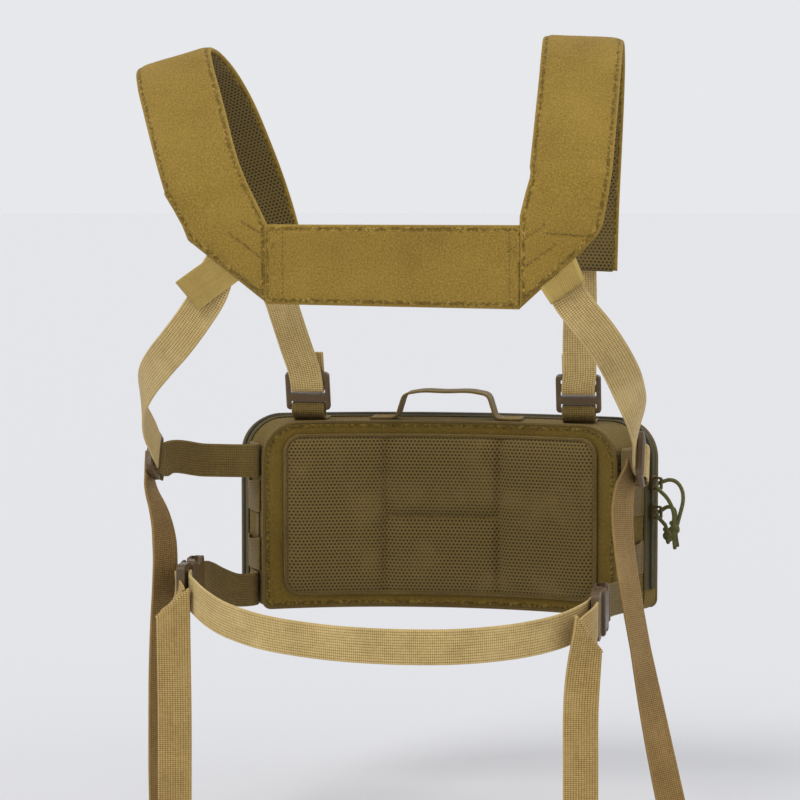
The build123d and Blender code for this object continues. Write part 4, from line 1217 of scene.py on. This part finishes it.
def pack_point(radius, w, z):
    """Points at a distance round the pack's arc and a height, on a cylinder of the radius."""
    angle = np.asarray(w, float) / radius
    return np.stack(np.broadcast_arrays(radius * np.sin(angle), radius * np.cos(angle) + ARC_CENTRE_Y, z), -1)


def pack_out(radius, w):
    """Directions away from the wearer at a distance round the arc."""
    angle = np.asarray(w, float) / radius
    return np.stack(np.broadcast_arrays(np.sin(angle), np.cos(angle), 0 * angle), -1)


def outline(half, low, high, top, bottom, fine=1.0):
    """Rounded rectangle from its bottom's middle round to the right, as (w, z), outward directions and
    distance run, which is mirrored in the left half so that cloth coordinates have no jump."""
    def arc(w, z, radius, begin, count):
        turns = begin + np.linspace(0, math.pi / 2, count)
        return [(w + radius * math.cos(t), z + radius * math.sin(t), math.cos(t), math.sin(t)) for t in turns]
    rows = [(w, low, 0, -1) for w in np.linspace(0, half - bottom, int(26 * fine))[:-1]]
    rows += arc(half - bottom, low + bottom, bottom, -math.pi / 2, int(8 * fine))
    rows += [(half, z, 1, 0) for z in np.linspace(low + bottom, high - top, int(24 * fine))[1:-1]]
    rows += arc(half - top, high - top, top, 0, int(16 * fine))
    rows += [(w, high, 0, 1) for w in np.linspace(half - top, 0, int(26 * fine))[1:]]
    rows = np.array(rows)
    run = lengths_along(rows[:, :2])
    mirrored = rows[-2:0:-1] * np.array([-1, 1, -1, 1])
    return np.concatenate([rows, mirrored]), np.concatenate([run, run[-2:0:-1]])


def pack_ring(radius, grow, soft=0.0, seed=1, fine=1.0):
    """Ring round the pack's outline: points, outward directions, and distance run."""
    half = radius * WALL_ANGLE + grow
    rows, run = outline(half, PACK_BOTTOM - grow, PACK_TOP + grow, TOP_CORNER + grow,
                        max(BOTTOM_CORNER + grow, 1.0), fine)
    points = pack_point(radius, rows[:, 0], rows[:, 1])
    angle = rows[:, 0] / radius
    outward = np.stack([np.cos(angle) * rows[:, 2], -np.sin(angle) * rows[:, 2], rows[:, 3]], -1)
    if soft:
        points = points + outward * wobble(points, 0.05, soft, seed)[:, None]
    return points, outward, run


def pack_band(name, stations, material, body, nodes=(), soft=0.0, seed=1):
    """Closed wall round the pack through stations of (radius, grow)."""
    rings, uvs, edges, v, last = [], [], [], 0.0, None
    low, high = min(r for r, _ in stations), max(r for r, _ in stations)
    for radius, grow in stations:
        points, _, run = pack_ring(radius, grow, soft, seed)
        v += 0 if last is None else math.hypot(radius - last[0], grow - last[1])
        last = (radius, grow)
        rings.append(points)
        uvs.append(np.stack([run, np.full(len(run), v)], -1))
        edges.append(np.full(len(run), min(radius - low, high - radius)))
    faces = tube_faces(len(rings), len(rings[0]), closed=True)
    return add_piece(name, np.concatenate(rings), faces, material, body, nodes, np.concatenate(uvs),
                     np.concatenate(edges))


def rounded(w, z, half, low, high, top, bottom):
    """Square-cornered grid of (w, z) with its corners turned into arcs."""
    w, z = w.copy(), z.copy()
    for radius, centre_z, sign in ((top, high - top, 1), (bottom, low + bottom, -1)):
        dw, dz = np.abs(w) - (half - radius), (z - centre_z) * sign
        inside = (dw > 0) & (dz > 0)
        scale = np.where(inside, np.maximum(dw, dz) / np.maximum(np.hypot(dw, dz), 1e-9), 1)
        w = np.where(inside, np.sign(w) * (half - radius + dw * scale), w)
        z = np.where(inside, centre_z + sign * dz * scale, z)
    return w, z


def steps_between(low, high, marks=()):
    """Places from low to high, close together at the ends and at the marks."""
    places = list(low + RIM_STEPS) + list(high - RIM_STEPS) + list(np.arange(low + 12, high - 11, 7.0))
    beside = np.array([-4, -2.4, -1.2, 0, 1.2, 2.4, 4])
    for mark in marks:
        places = [p for p in places if abs(p - mark) > 5] + list(mark + beside)
    return np.array(sorted(set(np.round(places, 3))))


def pack_panel(name, radius, half, low, high, corners, heights, back, material, body, slot="pack_fabric",
               nodes=(), marks=((), ()), inward=False):
    """Panel on the pack's arc. heights(gap, w, z) gives how far it stands out, back how far behind."""
    w, z = np.meshgrid(steps_between(-half, half, marks[0]), steps_between(low, high, marks[1]))
    gap = np.minimum(half - np.abs(w), np.minimum(z - low, high - z))
    w, z = rounded(w, z, half, low, high, *corners)
    grid = pack_point(radius, w, z)
    normals = pack_out(radius, w) * (-1 if inward else 1)
    up = np.maximum(heights(gap, w, z), 0.1)
    uv = np.stack([w, z], -1)
    return add_slab(name, grid, normals, up, np.full(up.shape, back), uv, material, body, nodes, gap)


def inset(half, by):
    """Half width, bottom and top of a panel that lies a little inside the pack's outline."""
    return half - by, PACK_BOTTOM + by, PACK_TOP - by


def wall_section(first, last, rows, rows_back, outside=-0.15, inside=-SHELL_THICK):
    """Stations of a thin wall: along its outer face and back along its inner one."""
    outer = [(radius, outside) for radius in np.linspace(first, last, rows)]
    return outer + [(radius, inside) for radius in np.linspace(last, first, rows_back)]


def smooth(value):
    value = np.clip(value, 0, 1)
    return value * value * (3 - 2 * value)


def flat_wobble(w, z, scale, size, seed):
    """Wobble of a panel, laid flat."""
    return wobble(np.stack([w, z, 0 * w], -1), scale, size, seed)


def pairs(line):
    """Each step of a line as a line of its own."""
    return [line[k:k + 2] for k in range(len(line) - 1)]


# Shell: side wall, back wall and the padded panel that lies against the chest
shell_side = pack_band("pack_side_wall", wall_section(BACK_RADIUS + 0.6, SHELL_RIM, 12, 10), pack_cloth,
                       "harness", ["pack_shell"], 0.3, 71)
half = BACK_RADIUS * WALL_ANGLE
pack_panel("pack_back_wall", BACK_RADIUS + 0.3, *inset(half, 0.4), (TOP_CORNER, BOTTOM_CORNER),
           lambda gap, w, z: 0.1 + 0.2 * smooth(gap / 3), 2.2, pack_cloth, "harness", inward=True)
rim_line, _, _ = pack_ring(BACK_RADIUS + 1.0, -0.5)
add_tube("pack_back_piping", rim_line, 1.5, "harness", pack_webbing, sides=10, closed=True)
PAD_HALF = 299.7 * math.radians(23.5)
PAD_CHANNELS = (-44.0, 44.0)
PAD_CROSS = -346.0
PAD_CHANNEL_WIDTH = 4.2


def pad_height(gap, w, z):
    swell = 6.9 * (0.12 + 0.88 * np.sin(np.clip(gap / 16, 0, 1) * math.pi / 2) ** 0.75)
    for channel in PAD_CHANNELS:
        swell = swell * (1 - 0.72 * np.exp(-((w - channel) / PAD_CHANNEL_WIDTH) ** 2))
    middle = np.abs(w) < PAD_CHANNELS[1]
    swell = swell * (1 - 0.6 * middle * np.exp(-((z - PAD_CROSS) / PAD_CHANNEL_WIDTH) ** 2))
    soft = flat_wobble(w, z, 0.05, 0.5, 73) * np.clip(gap / 10, 0, 1)
    return np.clip(swell + soft, 0.4, 7.4)


pad = pack_panel("pack_back_pad", 299.55, PAD_HALF - 1.5, PACK_BOTTOM + 10.5, PACK_TOP - 10.5, (12.0, 12.0),
                 pad_height, 0.05, spacer_mesh, "harness", "lining_mesh", ["pack_back_panel"],
                 (PAD_CHANNELS, (PAD_CROSS,)), inward=True)
rows, _ = outline(PAD_HALF - 1.8, PACK_BOTTOM + 10.8, PACK_TOP - 10.8, 12.0, 12.0)
bound = pack_point(298.2, rows[:, 0], rows[:, 1])
add_tube("pack_back_binding", bound, 1.7, "harness", pack_webbing, sides=12, closed=True)
channel_lines = [[pack_point(290, c, z) for z in (PACK_BOTTOM + 15, PACK_TOP - 15)] for c in PAD_CHANNELS]
channel_lines += [[pack_point(290, w, PAD_CROSS) for w in np.linspace(-42, 42, 9)]]
channel_out = [-pack_out(290, line[0][0]) for line in channel_lines[:2]] + [BACKWARD]
add_stitches("pack_back_stitches", surface_of(pad), channel_lines, "harness", channel_out,
             PAD_STITCH, dark_thread)

# Side wall stitching, and the lining inside
side_surface = surface_of(shell_side)
for number, radius in enumerate((304.5, 339.0)):
    line, outward, _ = pack_ring(radius, 0)
    add_stitches(f"pack_side_stitches_{number}", side_surface, pairs(line), "harness",
                 outward, PACK_STITCH)
lining_section = wall_section(SHELL_RIM - 1.5, BACK_RADIUS + 3, 6, 6, -SHELL_THICK - 0.1, -SHELL_THICK - 0.4)
pack_band("pack_lining_side", lining_section, lining_cloth, "harness")
pack_panel("pack_lining_back", BACK_RADIUS + 2.7, *inset(half, 3.4), LINING_CORNERS,
           lambda gap, w, z: 0.2 + 0 * gap, 0.15, lining_cloth, "harness", "lining_fabric")

# Slip pocket and elastic band inside
POCKET_HALF = 310 * math.radians(18)
pack_panel("pocket_panel", 303.0, POCKET_HALF, -411, -333.5, (0.5, 0.5),
           lambda gap, w, z: 0.4 + 6.6 * smooth(np.minimum(POCKET_HALF - np.abs(w), z + 411) / 5)
           + flat_wobble(w, z, 0.04, 0.5, 75) * smooth(gap / 12), 0.0, lining_cloth,
           "harness", "lining_fabric", ["inner_pocket"])
band = [(radius, math.radians(angle)) for radius, angle in (
    (304.0, 19.35), (308.0, 19.3), (311.6, 18.6), (312.1, 16.5), (312.1, 9), (312.1, 0), (312.1, -9),
    (312.1, -16.5), (311.6, -18.6), (308.0, -19.3), (304.0, -19.35))]
add_ribbon("retention_band", facing([pack_point(r, r * a, -325.5) for r, a in band], UPRIGHT), "harness",
           ["retention_strap"], elastic_cloth, ripple=0.0, thick=1.3)

# Cover: side wall, front panel, piping and lining
pack_band("cover_side_wall", wall_section(COVER_RIM, FRONT_RADIUS - 0.8, 5, 4), pack_cloth, "cover",
          ["pack_cover"], 0.1, 77)
half = FRONT_RADIUS * WALL_ANGLE


def front_height(gap, w, z):
    soft = flat_wobble(w, z, 0.035, 0.7, 79) - 0.45
    return 0.9 + soft * smooth(gap / 14) - 0.35 * np.exp(-((gap - 3.2) / 0.9) ** 2)


front = pack_panel("cover_front_panel", FRONT_RADIUS - 0.9, *inset(half, 0.3), (TOP_CORNER, BOTTOM_CORNER),
                   front_height, 1.6, pack_cloth, "cover")
rim_line, _, _ = pack_ring(FRONT_RADIUS - 0.9, -0.4)
add_tube("cover_front_piping", rim_line, 1.4, "cover", pack_webbing, sides=10, closed=True)
rows, _ = outline(*inset(half, 4.2), TOP_CORNER - 4, 3.0)
line = pack_point(FRONT_RADIUS + 3, rows[:, 0], rows[:, 1])
add_stitches("cover_front_stitches", surface_of(front), pairs(line), "cover",
             pack_out(FRONT_RADIUS, rows[:, 0]), PACK_STITCH)
pack_panel("cover_lining", FRONT_RADIUS - 2.7, *inset(half, 3.2), LINING_CORNERS,
           lambda gap, w, z: 0.1 + 0 * gap, 0.2, lining_cloth, "cover", "lining_fabric", inward=True)

# Rows of webbing loops on the front, and the loop patch above them
ROW_PITCH, ROW_LOOPS, ROW_START, ROW_END = 38.0, 7, 133.0, 130.5
CLEAR_OF_FRONT, TACK_HALF = 366.0, 10.5
row_nodes = ["front_webbing"]
for number, height in enumerate((-364.0, -397.0)):
    stations = []
    for k in range(ROW_LOOPS + 1):
        w = ROW_START - ROW_PITCH * k
        stations += [(w - shift, 0.0) for shift in ((-2.2, 2.2) if 0 < k < ROW_LOOPS else (0.0,))]
        if k < ROW_LOOPS:
            stations += [(w - ROW_PITCH * share, 0.75) for share in (0.3, 0.5, 0.7)]
    points = [pack_point(362.6 + rise, w, height) for w, rise in stations]
    row = add_ribbon(f"front_row_{number}", facing(points, UPRIGHT), "cover", row_nodes, pack_webbing,
                     seed=81 + number)
    row_nodes = ()
    tacks, outs = [], []
    for k in range(ROW_LOOPS + 1):
        w = min(max(ROW_START - ROW_PITCH * k, -ROW_END), ROW_END)
        sideways = pack_out(1, w / 363 + math.pi / 2)
        tack = bar_tack(*(pack_point(CLEAR_OF_FRONT, w, height + rise) for rise in (-TACK_HALF, TACK_HALF)),
                        sideways)
        tacks += tack
        outs += [pack_out(363, w)] * len(tack)
    add_stitches(f"front_row_tacks_{number}", surface_of(row), tacks, "cover", outs, ROW_TACK)
PATCH_HALF = 362 * math.radians(8)
patch = pack_panel("loop_pile", 361.75, PATCH_HALF - 0.4, -342.6, -293.4, (3.0, 3.0),
                   lambda gap, w, z: 0.5 + 0.75 * smooth(gap / 2.6) + flat_wobble(w, z, 0.5, 0.3, 83),
                   0.0, pile_cloth, "cover", "loop_pile", ["loop_patch"])
patch_sides = [[(w, z) for w in (-48, -16, 16, 48)] for z in (-295.6, -340.4)]
patch_sides += [[(w, -340.4), (w, -295.6)] for w in (-48, 48)]
patch_lines = [[pack_point(CLEAR_OF_FRONT, w, z) for w, z in side] for side in patch_sides]
add_stitches("loop_pile_stitches", surface_of(patch), patch_lines, "cover", FORWARD,
             PATCH_STITCH)

# Carrying handle on the pack's top
HANDLE_Y = 178.0
HANDLE = [(-58, -271.9), (-46, -271.9), (-38.5, -270.6), (-35.4, -263), (-31.6, -254), (-24, -251.9),
          (0, -251.5), (24, -251.9), (31.6, -254), (35.4, -263), (38.5, -270.6), (46, -271.9), (58, -271.9)]
handle = add_ribbon("grab_handle_webbing", facing([(x, HANDLE_Y, z) for x, z in HANDLE], FORWARD), "harness",
                    ["grab_handle"], pack_webbing, ripple=0.1, cup=0.4)
for number, x in enumerate((-49.5, 49.5)):
    box_stitch(f"grab_handle_stitches_{number}", handle, (x, HANDLE_Y, -271), SIDEWAYS, FORWARD, UPRIGHT,
               13, 19)

# Rows of loops on the side walls: their top edges stand away from the wall
half_columns = np.array([3, 6, 9, 11.5, 13, 14.4, 15.2, 15.5])
SIDE_ROW_ALONG = np.concatenate([-half_columns[::-1], [0], half_columns])
for side, sign in SIDES:
    mirror = np.array([sign, 1, 1])
    out, run = WALL_OUT * mirror, WALL_ALONG * mirror
    row_nodes = [f"side_webbing_{side}"]
    for number, height in enumerate((-329.5, -374.0)):
        a, b = np.meshgrid(SIDE_ROW_ALONG, (RIBBON_COLUMNS * WEBBING / 2)[::-1])
        open_share = 1 - (np.clip(np.abs(a), 0, 13) / 13) ** 2
        upper = (b + WEBBING / 2) / WEBBING
        stand = 1.35 + open_share * (0.5 + 3.1 * upper ** 1.6)
        drop = 1.6 * open_share * upper ** 2
        base = np.array(wall_point(322, 0, height, sign))
        grid = base + run * a[..., None] + np.array(UPRIGHT) * (b - drop)[..., None]
        grid = grid + out * stand[..., None]
        normals = np.broadcast_to(out, grid.shape)
        thick = np.broadcast_to(RIBBON_HEIGHTS[:, None] * WEBBING_THICK / 2, a.shape)
        row = add_slab(f"side_row_{side}_{number}", grid, normals, thick, thick, np.stack([b, a], -1),
                       pack_webbing, "harness", row_nodes)
        row_nodes = ()
        tacks = []
        for end in (-13.2, 13.2):
            start = base + run * end + out * 6
            tacks += bar_tack(start - (0, 0, TACK_HALF), start + (0, 0, TACK_HALF), run, 1.6)
        add_stitches(f"side_row_tacks_{side}_{number}", surface_of(row), tacks, "harness",
                     out, SIDE_TACK, dark_thread)
    # A narrow tape sewn down between the rows, and the tack of the seam above them
    tape = facing([wall_point(313, 0.8, z, sign) for z in (-343, -352, -361)], run * sign)
    add_ribbon(f"side_tape_{side}", tape, "harness", material=pack_webbing, width=6.0, thick=1.2, ripple=0.1)
    start = np.array(wall_point(324, 5, -306, sign))
    add_stitches(f"side_tack_{side}", side_surface, bar_tack(start, start - (0, 0, 9), run, 1.4), "harness",
                 out, SEAM_TACK, dark_thread)

# Zip: tapes and a coil on each, over the sides and the top
ZIP_END, ZIP_RADIUS = -401.0, 350.0


def zip_rows(radius, grow):
    """Stretch of the pack's outline that the zip runs along, from the lower left over the top."""
    points, outward, _ = pack_ring(radius, grow, fine=2.5)
    middle = len(points) // 2
    order = [*range(middle, -1, -1), *range(len(points) - 1, middle - 1, -1)]
    kept = [k for k in order if points[k, 2] > ZIP_END]
    return points[kept], outward[kept]


TAPE_ACROSS = np.array([0, 0.25, 0.8, 2.2, 4.2, 6.4, 8.2, 8.75, 9.0])
TAPE_HEIGHTS = np.array([0.45, 0.75, 1, 1, 1, 1, 1, 0.75, 0.45])
TOOTH_PITCH, TOOTH_SIDES = 1.7, 6
TOOTH_RINGS = [(1.75, 1.25, 0.25), (1.6, 2.1, 0.5), (0.6, 2.65, 0.52), (-0.1, 2.45, 0.46), (-0.35, 1.9, 0.25)]
for part, body, sign in (("shell", "harness", -1), ("cover", "cover", 1)):
    first = ZIP_RADIUS + 0.5 * sign
    columns = [zip_rows(first + sign * t, 0.6) for t in TAPE_ACROSS]
    grid = np.stack([points for points, _ in columns], 1)
    normals = np.stack([outward for _, outward in columns], 1)
    run = lengths_along(grid[:, 4])
    thick = np.broadcast_to(TAPE_HEIGHTS * 0.5, grid.shape[:2])
    uv = np.stack(np.broadcast_arrays(TAPE_ACROSS[None, :], run[:, None]), -1)
    tape = add_slab(f"zip_tape_{part}", grid, normals, thick, thick, uv, zip_cloth, body,
                    [f"zipper_tape_{part}"])
    sewn, outward = zip_rows(first + sign * 6.6, 3)
    add_stitches(f"zip_stitches_{part}", surface_of(tape), pairs(sewn), body, outward,
                 TAPE_STITCH, dark_thread)
    # The coil's teeth, each a bead bent over the seam, the two sides half a pitch apart
    line, outward = zip_rows(ZIP_RADIUS, 0)
    run = lengths_along(line)
    at = np.arange(0.6 + (TOOTH_PITCH / 2 if sign > 0 else 0), run[-1], TOOTH_PITCH)
    centres = at_lengths(at, run, line)
    ups = unit(at_lengths(at, run, outward))
    tangents = unit(at_lengths(at, run, np.gradient(line, axis=0)))
    sideways = np.cross(tangents, ups)
    from_centre = (centres - (0, ARC_CENTRE_Y, 0)) * (1, 1, 0)
    sideways *= sign * np.sign(np.sum(sideways * from_centre, axis=1))[:, None]
    turns = np.arange(TOOTH_SIDES) * math.tau / TOOTH_SIDES
    rings = []
    for sideways_by, height, radius in TOOTH_RINGS:
        middle = centres + sideways * sideways_by + ups * height
        rings.append(middle[:, None] + tangents[:, None] * (np.cos(turns) * radius * 1.25)[None, :, None]
                     + ups[:, None] * (np.sin(turns) * radius)[None, :, None])
    points = np.stack(rings, 1)
    faces = []
    for tooth in range(len(at)):
        faces += tube_faces(len(TOOTH_RINGS), TOOTH_SIDES, base=tooth * len(TOOTH_RINGS) * TOOTH_SIDES)
    add_piece(f"zip_coil_{part}", points.reshape(-1, 3), faces, coil, body,
              [f"zipper_teeth_{part}"])

# Fabric hinge under the pack and round its lower corners, in sectors
SECTORS, HINGE_GROW, HINGE_BEND = 9, 0.55, (346.0, 354.0)
sector = 2 * WALL_ANGLE / SECTORS
HINGE_RADII = np.array([341.5, 342, 344, 346.5, 348.5, 350, 351.5, 353.5, 356, 358, 358.5])
HINGE_HEIGHTS = np.array([0.2, 0.45, 0.5, 0.5, 0.5, 0.5, 0.5, 0.5, 0.5, 0.45, 0.2])
for number in range(SECTORS):
    begin = -WALL_ANGLE + number * sector
    shares = np.linspace(0, 1, 9)
    points, outward, cloth = [], [], []
    for radius in HINGE_RADII:
        rows, _ = outline(radius * WALL_ANGLE + HINGE_GROW, PACK_BOTTOM - HINGE_GROW, PACK_TOP + HINGE_GROW,
                          TOP_CORNER, BOTTOM_CORNER + HINGE_GROW)
        kept = rows[(rows[:, 1] < ZIP_END + 2)]
        kept = kept[np.argsort(np.sign(kept[:, 0]) * (np.abs(kept[:, 0]) + (kept[:, 1] - PACK_BOTTOM + 1)))]
        run = lengths_along(kept[:, :2])
        flat = run[-1] / 2
        low = -flat if number == 0 else begin * radius
        high = flat if number == SECTORS - 1 else (begin + sector) * radius
        at = low + (high - low) * shares + flat
        w, z, out_w, out_z = at_lengths(at, run, kept).T
        angle = w / radius
        points.append(pack_point(radius, w, z))
        outward.append(unit(np.stack([np.cos(angle) * out_w, -np.sin(angle) * out_w, out_z], -1)))
        cloth.append(np.stack([at, np.full(len(at), radius)], -1))
    grid, normals, uv = (np.stack(rows, 1) for rows in (points, outward, cloth))
    thick = np.broadcast_to(HINGE_HEIGHTS, grid.shape[:2])
    hinge = add_slab(f"hinge_fabric_{number}", grid, normals, thick, thick, uv, pack_cloth, None,
                     ride=False)
    middle = begin + sector / 2
    start, end = (pack_point(radius, radius * middle, PACK_BOTTOM) * MM for radius in HINGE_BEND)
    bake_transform(hinge)

# Hardware kept from the CAD model
for node in ("zipper_slider_upper", "zipper_slider_lower"):
    soften_hard_part(node, slider_metal, 0.3)
soften_hard_part("drain_grommets", grommet_metal, 0.35)


# Floor and lights --------------------------------------------------------------------------------
FLOOR_SIDES, FLOOR_RADIUS = 96, 30.0
LIGHTS = [("key", (-0.55, -0.8, 0.95), 1.15, 24), ("front", (0.5, 0.9, 0.9), 0.75, 30),
          ("side", (0.9, -0.35, 0.5), 0.3, 40)]


def add_stage():
    low = cad_box[0][2] - 0.004
    mesh = bpy.data.meshes.new("floor")
    turns = np.arange(FLOOR_SIDES) * math.tau / FLOOR_SIDES
    rim = [(math.cos(t) * FLOOR_RADIUS, math.sin(t) * FLOOR_RADIUS, low) for t in turns]
    mesh.from_pydata(rim, [], [tuple(range(FLOOR_SIDES))])
    shader = Shader("floor_paper", roughness=0.95, specular=0.05)
    mesh.materials.append(shader.finish(srgb(206, 206, 208)))
    floor = bpy.data.objects.new("floor", mesh)
    bpy.context.scene.collection.objects.link(floor)
    world = bpy.data.worlds.new("studio")
    world.use_nodes = True
    background = world.node_tree.nodes["Background"]
    background.inputs[0].default_value = srgb(240, 241, 244)
    background.inputs[1].default_value = 0.92
    bpy.context.scene.world = world
    for name, direction, strength, spread in LIGHTS:
        light = bpy.data.lights.new(name, "SUN")
        light.energy = strength
        light.angle = math.radians(spread)
        lamp = bpy.data.objects.new(name, light)
        lamp.rotation_euler = Vector(direction).to_track_quat("Z", "Y").to_euler()
        bpy.context.scene.collection.objects.link(lamp)
    bpy.context.scene.view_settings.view_transform = "Standard"


add_stage()
